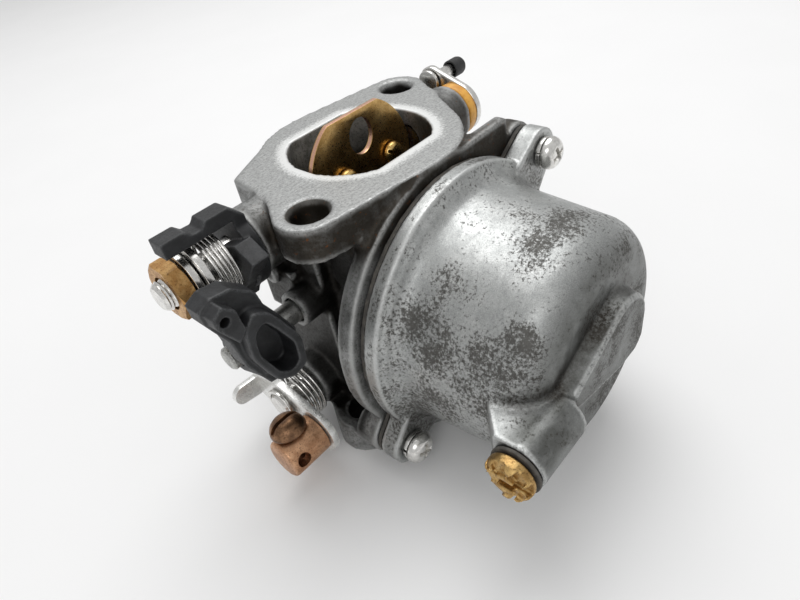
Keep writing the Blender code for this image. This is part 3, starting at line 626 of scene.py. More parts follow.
def body_metal():
    """Dark, oily die-cast body with a machined inlet face, and painted shade in its recesses and between
    the flanges.
    """
    p = Paint("cast_body", metallic=0.85)
    x, y, z = p.part(p.mm)
    blotch = p.noise(0.25, 5.0, 0.65)
    grain = p.noise(1.8, 6.0, 0.78)
    fine = p.noise(5.0, 4.0, 0.75)
    tone = p.mix(p.span(blotch, 0.32, 0.68), (0.16, 0.162, 0.158), (0.36, 0.365, 0.36))
    tone = p.mix(p.span(grain, 0.48, 0.66, 0.0, 0.7), tone, (0.055, 0.052, 0.047))
    tone = p.mix(p.span(fine, 0.55, 0.72, 0.0, 0.5), tone, (0.50, 0.505, 0.495))
    face = inlet_face(p, x, y, grain)
    # Painted shade: near black in the recesses, and over the sides between the two flanges, which lie in
    # deep shade.
    body_recess_shade = p.times(p.span(p.stored("recess"), 0.16, 0.42), p.span(blotch, 0.25, 0.6, 0.8, 1.0))
    between_flange_shade = p.times(p.span(z, 52.5, 49.0), p.span(z, 6.0, 9.5))
    between_flange_shade = p.times(between_flange_shade, p.span(y, -20.0, -16.5, 0.0, 0.85))
    tone = p.mix(p.math("MAXIMUM", body_recess_shade, between_flange_shade), tone, (0.012, 0.010, 0.008))
    side = p.times(p.span(z, 48.0, 52.5), p.span(y, 2.0, -8.0))
    oil = p.times(side, p.span(blotch, 0.3, 0.55, 0.5, 0.95))
    tone = p.mix(oil, tone, (0.032, 0.026, 0.019))
    rust = p.times(p.span(p.noise(0.9, 4.0, 0.7), 0.62, 0.68), oil)
    tone = p.mix(rust, tone, (0.17, 0.065, 0.022))
    edge = p.times(p.span(p.stored("edge"), 0.1, 0.4), p.span(grain, 0.3, 0.6, 0.2, 1.0))
    tone = p.mix(p.times(edge, 0.6), tone, (0.52, 0.525, 0.515))
    flat = p.span(z, HEIGHT - 0.35, HEIGHT - 0.12)
    p.colour(p.mix(flat, tone, face))
    p.rough(p.span(grain, 0.3, 0.7, 0.42, 0.64))
    height = p.plus(p.times(grain, 0.6), p.times(fine, 0.4))
    p.bump(p.times(height, p.span(flat, 0.0, 1.0, 1.0, 0.1)), 0.13, 0.6)
    return p.material


def inlet_face(p, x, y, grain):
    """The machined face: grey with pale streaks and dark scratches, and a pale ring at its opening."""
    tone = p.mix(p.span(grain, 0.36, 0.64), (0.42, 0.425, 0.42), (0.27, 0.273, 0.268))
    streaks = p.noise(1.1, 4.0, 0.7, vector=p.stretched((0.4, 2.6, 1.0)))
    tone = p.mix(p.span(streaks, 0.5, 0.68, 0.0, 0.6), tone, (0.55, 0.56, 0.55))
    scratches = p.noise(2.4, 5.0, 0.8, vector=p.stretched((1.0, 0.3, 1.0)))
    tone = p.mix(p.span(scratches, 0.56, 0.66, 0.0, 0.5), tone, (0.11, 0.11, 0.108))
    return p.mix(mouth_ring(p, x, y, grain), tone, (0.74, 0.745, 0.735))


def mouth_ring(p, x, y, grain):
    """The clean pale band round the inlet opening."""
    radial = p.math("SQRT", p.plus(p.times(x, x), p.times(y, y)))
    beyond = p.math("MAXIMUM", p.minus(radial, MOUTH_RADIUS),
                    p.minus(p.math("ABSOLUTE", y), MOUTH_FLAT))
    ragged = p.plus(beyond, p.times(p.minus(grain, 0.5), 5.0))
    return p.times(p.span(ragged, 3.2, 1.2, 0.0, 0.85), p.span(beyond, -0.6, 0.0))


def plain(name, colours, roughness, metallic=1.0, speck=None, depth=0.02):
    """A worn surface: two tones in blotches, optional dark specks and fine grain."""
    p = Paint(name, metallic=metallic)
    blotch = p.noise(0.55, 4.0, 0.65)
    grain = p.noise(3.0, 5.0, 0.7)
    tone = p.mix(p.span(blotch, 0.36, 0.66), colours[0], colours[1])
    if speck is not None:
        tone = p.mix(p.span(grain, 0.52, 0.66, 0.0, 0.85), tone, speck)
    p.colour(tone)
    p.rough(p.span(grain, 0.3, 0.7, roughness[0], roughness[1]))
    p.bump(grain, depth, 0.6)
    return p.material


def black_plastic():
    """Charcoal moulded plastic with scuffed, dusty edges."""
    p = Paint("charcoal_plastic")
    grain = p.noise(2.6, 5.0, 0.7)
    blotch = p.noise(0.4, 4.0, 0.6)
    tone = p.mix(p.span(blotch, 0.35, 0.7), (0.009, 0.0095, 0.0105), (0.022, 0.023, 0.025))
    edge = p.span(p.stored("edge"), 0.18, 0.6)
    scuff = p.times(edge, p.span(grain, 0.35, 0.6))
    tone = p.mix(p.times(scuff, 0.55), tone, (0.10, 0.103, 0.106))
    p.colour(tone)
    p.rough(p.span(grain, 0.3, 0.7, 0.42, 0.62))
    p.bump(grain, 0.05, 0.5)
    return p.material


def choke_brass():
    """Golden brown brass sheet with pink copper at its cut edges."""
    p = Paint("choke_brass", metallic=1.0)
    blotch = p.noise(0.35, 4.0, 0.65)
    grain = p.noise(3.0, 5.0, 0.7)
    tone = p.mix(p.span(blotch, 0.36, 0.66), (0.52, 0.31, 0.105), (0.74, 0.49, 0.20))
    tone = p.mix(p.span(grain, 0.54, 0.68, 0.0, 0.6), tone, (0.24, 0.13, 0.05))
    off_centre = p.math("ABSOLUTE", p.minus(p.part(p.mm)[1], CHOKE[0]))
    tone = p.mix(p.span(off_centre, 0.5, 0.36), tone, (0.72, 0.42, 0.30))
    p.colour(tone)
    p.rough(p.span(grain, 0.3, 0.7, 0.24, 0.4))
    p.bump(grain, 0.02, 0.6)
    return p.material


MATERIALS = {
    "bowl": bowl_metal(),
    "body": body_metal(),
    "nickel": plain("bright_nickel", ((0.66, 0.65, 0.63), (0.84, 0.83, 0.80)), (0.16, 0.3),
                    speck=(0.42, 0.41, 0.38)),
    "zinc": plain("white_zinc", ((0.70, 0.70, 0.68), (0.86, 0.86, 0.84)), (0.24, 0.4),
                  metallic=0.85),
    "dull_steel": plain("dull_steel", ((0.30, 0.30, 0.29), (0.50, 0.50, 0.48)), (0.3, 0.5),
                        speck=(0.12, 0.11, 0.10)),
    "plate": choke_brass(),
    "disc": plain("throttle_brass", ((0.36, 0.21, 0.075), (0.56, 0.35, 0.13)), (0.26, 0.42)),
    "gold": plain("bright_brass", ((0.62, 0.41, 0.14), (0.80, 0.56, 0.22)), (0.2, 0.34)),
    "drain": plain("gouged_brass", ((0.38, 0.23, 0.085), (0.62, 0.42, 0.17)), (0.28, 0.5),
                   speck=(0.12, 0.075, 0.035), depth=0.1),
    "barrel": plain("copper_patina", ((0.44, 0.235, 0.13), (0.62, 0.37, 0.22)), (0.34, 0.52),
                    speck=(0.17, 0.09, 0.05)),
    "bronze": plain("brown_bronze", ((0.17, 0.095, 0.055), (0.30, 0.17, 0.095)), (0.3, 0.5),
                    speck=(0.06, 0.035, 0.022)),
    "nut": plain("tarnished_nut", ((0.42, 0.22, 0.075), (0.60, 0.37, 0.15)), (0.3, 0.5),
                 speck=(0.15, 0.075, 0.03)),
    "amber": plain("amber_nylon", ((0.62, 0.27, 0.03), (0.80, 0.42, 0.07)), (0.32, 0.45),
                   metallic=0.0),
    "rubber": plain("black_rubber", ((0.010, 0.010, 0.010), (0.022, 0.022, 0.023)), (0.5, 0.7),
                    metallic=0.0),
    "fibre": plain("gasket_fibre", ((0.045, 0.042, 0.038), (0.09, 0.082, 0.07)), (0.7, 0.9),
                   metallic=0.0),
    "plastic": black_plastic(),
}


# ---------------------------------------------------------------- castings

def flange_outline():
    return hull([(0, 0, FLANGE_RADIUS), *[(x, y, STUD_EAR) for x, y in STUDS]], 120)


def joint_outline(radius):
    """The cover's round outline, cut level with both flange faces."""
    low, high = JOINT_STEP, HEIGHT - JOINT_STEP
    rim = disc_points([(0, BOWL_Z, radius)], 140)
    return convex_hull((u, max(low, min(high, v))) for u, v in rim)


def ear_outline(spot, radius):
    """A bowl screw's ear, which runs in to the bowl wall."""
    x, z = spot
    inner = (x * 0.7, BOWL_Z + (z - BOWL_Z) * 0.7, radius * 1.35)
    return hull([(x, z, radius), inner], 48)


def bowl_outside():
    """The turned part of the bowl, with its stepped joint flange cut level above and below."""
    wall = [(0, BOWL_TOP), (29.8, BOWL_TOP), (29.8, -25.9), (29.2, -26.3), (28.5, -26.5)]
    wall += [(28.3, -27.0), (27.0, -27.6), (26.2, -28.6), (25.7, -30.0), (25.45, -32.0)]
    centre = (BOWL_END_RADIUS - BOWL_FILLET, BOWL_END + BOWL_FILLET)
    wall += arc(centre, BOWL_FILLET, 0, -90, 18) + [(0, BOWL_END)]
    bowl = turned("bowl", wall, (0, 0, BOWL_Z), (0, 1, 0), 160)
    low, high = JOINT_STEP, HEIGHT - JOINT_STEP
    below = box("trim_low", (-40, -70, low - 20), (40, -20, low))
    above = box("trim_high", (-40, -70, high), (40, -20, high + 20))
    return cut(bowl, below, above)


def make_bowl():
    pieces = []
    for index, spot in enumerate(SCREW_SPOTS):
        outline = ear_outline(spot, SCREW_EAR)
        pieces.append(plate(f"ear_{index}", outline, "XZ", EAR_FACE, BOWL_TOP))
    pieces.append(drafted_pad())
    pieces.append(rod_x("drain_boss", DRAIN_RADIUS, DRAIN_END_X, -16.2, DRAIN_Y, BOWL_Z))
    web = [(DRAIN_END_X, DRAIN_Y), (-8, DRAIN_Y), (-8, -46), (-23, -46), (DRAIN_END_X, -52)]
    reach = DRAIN_RADIUS - 0.1
    pieces.append(plate("drain_web", web, "XY", BOWL_Z - reach, BOWL_Z + reach))
    bowl = join(bowl_outside(), *pieces)
    fillet = BOWL_FILLET - BOWL_WALL
    centre = (BOWL_END_RADIUS - BOWL_FILLET, BOWL_END + BOWL_FILLET)
    inner = [(0, BOWL_TOP + 1), (23.3, BOWL_TOP + 1)]
    inner += arc(centre, fillet, 0, -90, 10) + [(0, BOWL_END + BOWL_WALL)]
    holes = [turned("cavity", inner, (0, 0, BOWL_Z), (0, 1, 0), 96)]
    holes.append(rod_x("drain_hole", 3.15, DRAIN_END_X - 1, -17.6, DRAIN_Y, BOWL_Z, 32))
    for index, (x, z) in enumerate(SCREW_SPOTS):
        holes.append(rod(f"ear_hole_{index}", 2.3, (x, -29, z), (x, -22, z), 32))
    bowl = cast(cut(bowl, *holes), 0.4, 1)
    shape_masks(bowl)
    settle(bowl, "float_bowl", "body", "bowl", 0)


def drafted_pad():
    """The raised pad on the bowl's end, wider at its foot than at its face."""
    bm = bmesh.new()
    discs = [(2.2, 32.6, 7.6), (6.2, 28.6, 3.8), (-13.5, 31.0, 2.2)]
    for depth, extra in ((PAD_FACE, -0.1), (PAD_FACE + 0.4, 0.3), (-53.0, 1.4)):
        grown = [(x, z, radius + extra) for x, z, radius in discs]
        for x, z in hull(grown, 60):
            bm.verts.new((x, depth, z))
    made = bmesh.ops.convex_hull(bm, input=bm.verts)
    bmesh.ops.delete(bm, geom=made["geom_interior"], context="VERTS")
    return mesh_object("pad", bm)


def cover_plates():
    """The bowl cover: its round part and the two screw ears."""
    made = [plate("bowl_cover", joint_outline(31.5), "XZ", COVER_FACE, COVER_TOP)]
    for index, spot in enumerate(SCREW_SPOTS):
        outline = ear_outline(spot, SCREW_EAR + 0.2)
        made.append(plate(f"bowl_cover_ear_{index}", outline, "XZ", COVER_FACE, COVER_TOP))
    return made


def body_pieces():
    """Everything that is joined to the inlet flange."""
    lugs = [(0, 0, 14), (-14.0, 14.6, 2.0), (-23.0, 10.9, 1.2), (-24.2, 1.4, 1.2)]
    mix_x, mix_z = MIXTURE
    pieces = [
        plate("engine_flange", flange_outline(), "XY", 0, ENGINE_FLANGE),
        plate("inlet_lug", hull(lugs, 48), "XY", HEIGHT - 9.5, HEIGHT - 0.05),
        rod("barrel", BARREL_RADIUS, (0, 0, 1), (0, 0, HEIGHT - 1), 120),
        rod_x("choke_boss", 6.7, -31.6, 30, *CHOKE),
        rod_x("throttle_boss", 6.3, -29, 28.3, *THROTTLE),
        box("middle_block", (-15, COVER_TOP - 2, 5), (16, -4, 55)),
        box("side_web", (-20.8, COVER_TOP - 2, 6.5), (-10, -2.5, 54.5)),
        box("side_wall", (-24, -7.8, 5.5), (-13, 9.6, 52)),
        *cover_plates(),
        box("cover_bar", (-1.5, COVER_FACE, 40), (21.5, -18.8, HEIGHT - 0.6)),
        rod("jet_tower", 6.0, (0, COVER_TOP, BOWL_Z), (0, -40, BOWL_Z)),
        rod_x("cam_pin_boss", 3.9, -29.5, -16, *CAM),
        rod("mixture_boss", 4.0, (mix_x, 10, mix_z), (mix_x, 22.5, mix_z)),
        box("stop_screw_arm", (12, STOP_Y - 4, 24.5), (STOP_X + 4, STOP_Y + 3.4, 32)),
        rod_x("fuel_boss", 5.0, 10, 27, *FUEL),
        box("cast_lug", (-26.5, -2.4, 32), (-12, 8.4, 43)),
        rod_x("cast_stub", 2.3, -28.2, -20, 3.0, 42.3, 32),
    ]
    for index, (x, z) in enumerate(SCREW_SPOTS):
        pieces.append(rod(f"screw_boss_{index}", SCREW_EAR, (x, -20, z), (x, -15.5, z), 48))
    for index, x in enumerate((-8, 5)):
        pieces.append(box(f"hinge_post_{index}", (x, -30.2, 44.4), (x + 3, COVER_TOP, 48.6)))
    return pieces


def body_holes():
    """The air passage and every drilled hole of the body."""
    throat = [(0, 42.0), (12.9, 42.0), (10.5, 33.0), (10.5, 27.0), (13.0, 20.0), (13.0, -1.0)]
    tools = [turned("throat", throat + [(0, -1.0)], sides=96)]
    opening = truncated_disc(MOUTH_RADIUS, MOUTH_FLAT)
    tools.append(plate("mouth", opening, "XY", 40.0, HEIGHT + 1))
    for index, (x, y) in enumerate(STUDS):
        tools.append(rod(f"stud_hole_{index}", 3.5, (x, y, -1), (x, y, HEIGHT + 1), 48))
        low, high = (x, y, HEIGHT - 1.4), (x, y, HEIGHT + 0.6)
        tools.append(rod(f"stud_chamfer_{index}", 3.0, low, high, 48, 5.0))
    tools.append(rod_x("choke_hole", SHAFT + GAP, -33, 32, *CHOKE, 32))
    tools.append(rod_x("throttle_hole", SHAFT + GAP, -31, 30, *THROTTLE, 32))
    mix_x, mix_z = MIXTURE
    tools.append(rod("mixture_hole", 1.9, (mix_x, 12, mix_z), (mix_x, 24, mix_z), 24))
    tools.append(rod("stop_screw_hole", 2.3, (STOP_X, STOP_Y, 20), (STOP_X, STOP_Y, 36), 24))
    tools.append(rod_x("fuel_hole", 3.0, 20, 29, *FUEL, 24))
    tools.append(rod_x("cam_pin_hole", CAM_PIN + GAP, -31, -21.5, *CAM, 32))
    return tools


def make_body():
    body = plate("body", flange_outline(), "XY", HEIGHT - INLET_FLANGE, HEIGHT)
    body = join(body, *body_pieces())
    body = cast(cut(body, *body_holes()), 0.5, 4)
    shape_masks(body)
    settle(body, "main_body", "body", "body", 0)


make_bowl()
make_body()


# ---------------------------------------------------------------- fasteners and valves

def aim(obj, origin, direction, spin=0.0):
    """Move a shape drawn about the Z axis to an axis of its own."""
    turn = turn_to(direction).to_matrix().to_4x4() @ Matrix.Rotation(math.radians(spin), 4, "Z")
    obj.data.transform(Matrix.Translation(Vector(origin)) @ turn)
    return obj


def cross_tools(origin, direction, head, reach, depth, spin):
    """Two crossed tapered bars for a Phillips recess, from the top of the head down."""
    tools = []
    outline = [(-reach, head + 1), (reach, head + 1), (reach * 0.95, head), (reach * 0.45, head - depth),
               (-reach * 0.45, head - depth), (-reach * 0.95, head)]
    for index, extra in enumerate((0, 90)):
        bar = plate(f"cross_{index}", outline, "XZ", -0.48, 0.48)
        tools.append(aim(bar, origin, direction, spin + extra))
    return tools


def pan_profile(radius, height, shank, length, thread=0.0):
    """A domed head and a shank, with V grooves for a thread if asked."""
    dome = ((0, 1), (0.4, 0.98), (0.68, 0.87), (0.86, 0.66), (0.96, 0.4), (1, 0.16), (0.97, 0))
    profile = [(radius * across, height * up) for across, up in dome] + [(shank, 0)]
    if thread:
        depth = -0.8
        while depth > -length + 0.8:
            profile += [(shank, depth), (shank - thread * 0.55, depth - 0.25)]
            depth -= thread
    profile += [(shank, -length + 0.5), (shank - 0.4, -length), (0, -length)]
    return profile


def slot_tool(origin, direction, head, depth, width, reach, spin):
    bar = box("slot", (-reach, -width / 2, head - depth), (reach, width / 2, head + 1))
    return aim(bar, origin, direction, spin)


def make_bowl_screws():
    spins = {"front": 24, "rear": -18}
    for name, (x, z) in zip(("front", "rear"), SCREW_SPOTS):
        under = EAR_FACE - 2 * GAP - LOCK_DEPTH
        origin, down = (x, under, z), (0, -1, 0)
        screw = turned("screw", pan_profile(3.5, 2.5, 1.9, 10.5, 0.7), origin, down, 72)
        screw = cut(screw, *cross_tools(origin, down, 2.5, 2.05, 1.5, spins[name]))
        settle(soften(screw, 0.09, 2), f"bowl_screw_{name}", "body", "nickel")
        ring = ring_profile(2.25, 3.3, LOCK_DEPTH)
        lock = turned("lock", ring, (x, EAR_FACE - GAP, z), down, 72, closed=True)
        gap = box("gap", (1.5, -0.3, -1), (4.5, 0.3, 2))
        lock = cut(lock, aim(gap, (x, EAR_FACE - GAP, z), down, 160))
        settle(soften(lock, 0.12), f"bowl_lock_washer_{name}", "body", "nickel")


def make_drain_plug():
    x = DRAIN_END_X - GAP
    out = (-1, 0, 0)
    ring = ring_profile(3.2, 4.7, DRAIN_SEAL)
    seal = turned("seal", ring, (x, DRAIN_Y, BOWL_Z), out, 72, closed=True)
    settle(soften(seal, 0.15), "drain_washer", "body", "fibre")
    origin = (x - DRAIN_SEAL - GAP, DRAIN_Y, BOWL_Z)
    profile = [(0, 2.8), (3.0, 2.8), (3.8, 2.55), (4.3, 1.9), (4.4, 1.1), (4.4, 0.3), (4.1, 0), (2.8, 0),
               (2.8, -10.5), (2.4, -11), (0, -11)]
    plug = turned("plug", profile, origin, out, 72)
    tools = [slot_tool(origin, out, 2.8, 1.9, 1.9, 6, 90)]
    gouges = ((20, 1.9, 1.3), (62, 1.1, 0.5), (118, 1.5, 0.9), (150, 1.8, 1.2), (200, 1.2, 0.7),
              (235, 1.7, 1.1), (285, 1.0, 0.6), (318, 1.6, 1.2))
    for spin, lift, half in gouges:
        gouge = box("gouge", (1.9, -half, lift), (6, half, 4.5))
        tools.append(aim(gouge, origin, out, spin))
    plug = cast(cut(plug, *tools), 0.18, 2)
    settle(plug, "drain_screw", "drain_plug", "drain", 0)


def threaded_end(x_end, x_shoulder, radius, pitch):
    """(radius, height) pairs of a threaded stud end that runs from its tip up to the shoulder."""
    profile = [(0, x_end), (radius - 0.75, x_end), (radius - 0.15, x_end + 0.6)]
    height = x_end + 0.7
    while height < x_shoulder - pitch:
        profile += [(radius - 0.4, height), (radius, height + pitch / 2)]
        height += pitch
    return profile + [(radius, x_shoulder)]


def shaft_screws(prefix, body, spots, direction, radius, height):
    for index, (origin, spin) in enumerate(spots, 1):
        screw = turned("screw", pan_profile(radius, height, 1.3, 3.6), origin, direction, 56)
        screw = cut(screw, slot_tool(origin, direction, height, 0.85, 0.75, 4, spin))
        settle(soften(screw, 0.08, 2), f"{prefix}_{index}", body, "gold")


def make_choke_valve():
    y, z = CHOKE
    profile = threaded_end(-50.6, -42.0, 2.9, 0.9)
    profile += [(SHAFT, -41.8), (SHAFT, 36.2), (SHAFT - 0.4, 36.6), (0, 36.6)]
    shaft = turned("shaft", profile, (0, y, z), (1, 0, 0), 64)
    xs = (-5.5, 8.5)
    holes = [rod("hole", 1.6, (x, y - 4, z), (x, y + 4, z), 24) for x in xs]
    shaft = cut(shaft, box("seat", (-15.2, y - 4, z - 4), (15.2, y + PLATE_HALF + GAP, z + 4)), *holes)
    settle(shaft, "choke_shaft", "choke_valve", "nickel")
    outline = [(u, v + z) for u, v in truncated_disc(14.5, 12.6)]
    disc = plate("disc", outline, "XZ", y - PLATE_HALF, y + PLATE_HALF)
    oval = turned("oval", [(0, 3), (3.9, 3), (3.9, -3), (0, -3)], sides=64)
    oval.data.transform(Matrix.Scale(0.85, 4, (1, 0, 0)))
    holes = [rod("hole", 1.8, (x, y - 3, z), (x, y + 3, z), 24) for x in xs]
    disc = cut(disc, aim(oval, (0.9, y, z + 7.2), (0, 1, 0)), *holes)
    settle(soften(disc, 0.22), "choke_plate", "choke_valve", "plate")
    under = y - PLATE_HALF - GAP
    spots = [((x, under, z), spin) for x, spin in zip(xs, (30, -35))]
    shaft_screws("choke_plate_screw", "choke_valve", spots, (0, -1, 0), 2.6, 1.7)


def ring_profile(inner, outer, depth):
    return [(inner, 0), (outer, 0), (outer, depth), (inner, depth)]


def ring_x(node, body, outer, depth, x, axis, material, gap_spin=None, width=0.2):
    """A ring round a shaft along X; gap_spin splits it there."""
    y, z = axis
    ring = turned("ring", ring_profile(SHAFT + GAP, outer, depth), (x, y, z), (-1, 0, 0), 96, closed=True)
    if gap_spin is not None:
        gap = box("gap", (1, -0.4, -2), (9, 0.4, 4))
        ring = cut(ring, aim(gap, (x, y, z), (-1, 0, 0), gap_spin))
    return settle(soften(ring, width), node, body, material)


def hex_nut(node, body, across_corners, x0, x1, axis, material):
    """A chamfered hex nut on a shaft along X."""
    y, z = axis
    length = x0 - x1
    nut = rod_x("nut", across_corners, x0, x1, y, z, 6)
    flat = across_corners * 0.89
    dome = [(0, 0), (flat, 0), (across_corners * 1.02, across_corners * 0.09)]
    dome += [(across_corners * 1.02, length - across_corners * 0.09), (flat, length), (0, length)]
    limit = turned("limit", dome, (x0, y, z), (-1, 0, 0), 96)
    nut = combine(nut, "INTERSECT", [limit])
    bore = rod_x("bore", SHAFT + GAP, x0 + 1, x1 - 1, y, z, 48)
    mouth = rod_x("mouth", SHAFT + GAP, x1 + 0.6, x1 - 0.2, y, z, 48)
    nut = cut(nut, bore, mouth)
    return settle(soften(nut, 0.16), node, body, material, 35)


def make_choke_lever():
    y, z = CHOKE
    lever = rod_x("lever", 7.6, -34.6, -32.0, y, z, 96)
    bar = [(-47.8, z + 7.9), (-47.8, z + 10.8), (-43.4, z + 10.8), (-42.2, z + 9.6), (-40.4, z + 9.5),
           (-39.4, z + 10.6), (-34.6, z + 10.6), (-32.0, z + 8.0), (-32.0, z + 4.0), (-34.6, z + 4.0),
           (-34.6, z + 7.9)]
    arm = [(y - 10.8, z + 2.4), (y - 6.4, z + 5.0), (y + 3, z + 1.5), (y + 4.4, z - 6.4),
           (y - 2.4, z - 9.0), (y - 5.0, z - 4.6)]
    lever = join(lever, plate("bar", bar, "XZ", y - 4.3, y - 0.3),
                 plate("arm", arm, "YZ", -37.2, -33.5))
    lever = cut(lever, rod_x("bore", SHAFT + GAP, -40, -30, y, z, 48))
    lever = cast(lever, 0.22, 2)
    shape_masks(lever)
    settle(lever, "choke_lever", "choke_valve", "plastic", 0)


def make_choke_stack():
    """Spring, collar, lock washer and nut on the choke shaft's near end."""
    y, z = CHOKE
    spring = coil("spring", (-42.0, y, z), (-37.95, y, z), 6.9, 5, 0.36)
    settle(spring, "choke_spring", "choke_valve", "nickel", 0)
    ring_x("choke_collar", "choke_valve", 7.3, 1.4, -42.6, CHOKE, "nickel")
    ring_x("choke_lock_washer", "choke_valve", 5.9, 1.2, -44.3, CHOKE, "nickel", 80)
    hex_nut("choke_nut", "choke_valve", 5.77, -45.8, -48.8, CHOKE, "nut")


def make_choke_end():
    """Bush, steel lever and link stud on the choke shaft's far end."""
    y, z = CHOKE
    ring_x("choke_bush", "body", 6.2, 2.6, 32.9, CHOKE, "amber", width=0.4)
    stud_y, stud_z = y + 7.4, z + 5.6
    lever = plate("lever", hull([(y, z, 6.0), (stud_y, stud_z, 3.3)]), "YZ", 33.2, 34.9)
    lever = cut(lever, rod_x("bore", SHAFT + GAP, 32, 37, y, z, 48),
                rod_x("eye", 1.9, 32, 37, stud_y, stud_z, 32))
    settle(soften(lever, 0.3), "choke_end_lever", "choke_valve", "nickel")
    profile = [(0, -0.3), (2.8, -0.3), (2.8, 0.6), (1.5, 0.6), (1.5, 2.6), (2.7, 2.6), (2.7, 3.3),
               (1.5, 3.3), (1.5, 10.9), (1.2, 11.2), (0, 11.2)]
    stud = turned("stud", profile, (32.3, stud_y, stud_z), (1, 0, 0), 64)
    settle(soften(stud, 0.12, 2), "link_stud", "link", "nickel")
    profile = [(0, 4.6), (1.0, 4.55), (1.6, 4.3), (2.0, 3.8), (2.2, 3.2), (2.2, 0), (1.8, 0),
               (1.8, 3.0), (0, 3.0)]
    cap = turned("cap", profile, (40.8, stud_y, stud_z), (1, 0, 0), 56)
    settle(cap, "link_stud_cap", "link", "rubber")


def make_throttle_lever():
    """Zinc-plated lever with its tab and retainer, and the return spring behind it."""
    y, z = THROTTLE
    outline = hull([(y, z, 6.0), (*CLAMP, 5.6), (y + 8.6, z + 1.2, 2.8)])
    lever = plate("lever", outline, "YZ", -36.6, -35.0)
    tab = hull([(-37.2, z + 0.9, 2.6), (-40.8, z + 1.3, 2.4)], 64)
    lever = join(lever, plate("tab", tab, "XZ", y + 8.6, y + 10.0))
    lever = cut(lever, rod_x("bore", SHAFT + GAP, -38, -33, y, z, 48),
                rod_x("pivot", 2.3, -38, -33, *CLAMP, 32))
    settle(soften(lever, 0.4), "throttle_lever", "throttle_valve", "zinc")
    ring_x("throttle_retainer", "throttle_valve", 4.2, 0.7, -36.9, THROTTLE, "nickel",
           width=0.15)
    spring = coil("spring", (-34.3, y, z), (-29.9, y, z), 6.6, 4, 0.4)
    settle(spring, "throttle_spring", "throttle_valve", "nickel", 0)


def make_cable_clamp():
    """The barrel that holds the throttle cable, with its clamp screw."""
    profile = [(0, 9.3), (3.9, 9.3), (4.3, 9.1), (4.5, 8.7), (4.5, 0), (1.9, 0), (1.9, -2.9),
               (0, -2.9)]
    barrel = turned("barrel", profile, (-36.9, *CLAMP), (-1, 0, 0), 96)
    lean = math.radians(CLAMP_LEAN)
    up = Vector((0, math.sin(lean), math.cos(lean)))
    across = Vector((0, math.cos(lean), -math.sin(lean)))
    centre, cable = Vector((-42.0, *CLAMP)), Vector((-43.6, *CLAMP))
    barrel = cut(barrel, rod("screw_hole", 2.3, centre - up * 1.5, centre + up * 6, 48),
                 rod("cable_hole", 1.6, cable - across * 6, cable + across * 6, 40))
    settle(soften(barrel, 0.2), "cable_barrel", "cable_clamp", "barrel")
    origin = centre + up * 5.2
    screw = turned("screw", pan_profile(4.0, 3.2, 2.0, 5.6, 0.7), origin, up, 80)
    screw = cut(screw, slot_tool(origin, up, 3.2, 1.6, 1.15, 6, 0))
    settle(soften(screw, 0.12, 2), "cable_screw", "clamp_screw", "bronze")


def make_throttle_valve():
    """The throttle shaft with its plate and two screws, inside the bore."""
    y, z = THROTTLE
    profile = [(0, -37.9), (2.6, -37.9), (SHAFT, -37.5), (SHAFT, 31.6), (2.6, 32.0), (0, 32.0)]
    shaft = turned("shaft", profile, (0, y, z), (1, 0, 0), 64)
    xs = (-5, 5)
    holes = [rod("hole", 1.6, (x, y, z - 4), (x, y, z + 4), 24) for x in xs]
    low = z - PLATE_HALF - GAP
    shaft = cut(shaft, box("seat", (-13.2, y - 4, low), (13.2, y + 4, z + 4)), *holes)
    settle(shaft, "throttle_shaft", "throttle_valve", "nickel")
    disc = rod("disc", 12.65, (0, y - 1, z - PLATE_HALF), (0, y - 1, z + PLATE_HALF), 120)
    disc = cut(disc, *[rod("hole", 1.8, (x, y, z - 3), (x, y, z + 3), 24) for x in xs])
    settle(soften(disc, 0.15), "throttle_plate", "throttle_valve", "disc")
    under = z + PLATE_HALF + GAP
    spots = [((x, y, under), spin) for x, spin in zip(xs, (15, -20))]
    shaft_screws("throttle_plate_screw", "throttle_valve", spots, (0, 0, 1), 2.5, 1.6)


def make_idle_parts():
    """The stop lever, and the idle speed and mixture screws with their springs."""
    y, z = THROTTLE
    tip_z, tip_radius = z + 7.2, 2.2
    lever = plate("lever", hull([(y, z, 4.6), (STOP_Y, tip_z, tip_radius)]), "YZ", 28.7, 30.4)
    lever = cut(lever, rod_x("bore", SHAFT + GAP, 25, 33, y, z, 48))
    settle(soften(lever, 0.3), "throttle_stop_lever", "throttle_valve", "zinc")
    under = 38.6
    length = under - (tip_z + tip_radius + GAP)
    origin, up = (STOP_X, STOP_Y, under), (0, 0, 1)
    screw = turned("screw", pan_profile(3.4, 2.6, 1.9, length, 0.7), origin, up, 64)
    screw = cut(screw, slot_tool(origin, up, 2.6, 1.1, 1.0, 5, 0))
    settle(soften(screw, 0.1, 2), "idle_speed_screw", "speed_screw", "gold")
    spring = coil("spring", (STOP_X, STOP_Y, 32.9), (STOP_X, STOP_Y, under - 0.8), 2.75, 4, 0.35)
    settle(spring, "idle_speed_spring", "body", "nickel", 0)
    x, z = MIXTURE
    origin, out = (x, 28.6, z), (0, 1, 0)
    screw = turned("screw", pan_profile(2.9, 2.4, 1.5, 15.5, 0.6), origin, out, 64)
    screw = cut(screw, slot_tool(origin, out, 2.4, 1.0, 0.8, 4, 0))
    settle(soften(screw, 0.1, 2), "idle_mixture_screw", "mixture_screw", "gold")
    spring = coil("spring", (x, 23.2, z), (x, 27.9, z), 2.2, 4, 0.3)
    settle(spring, "idle_mixture_spring", "body", "nickel", 0)


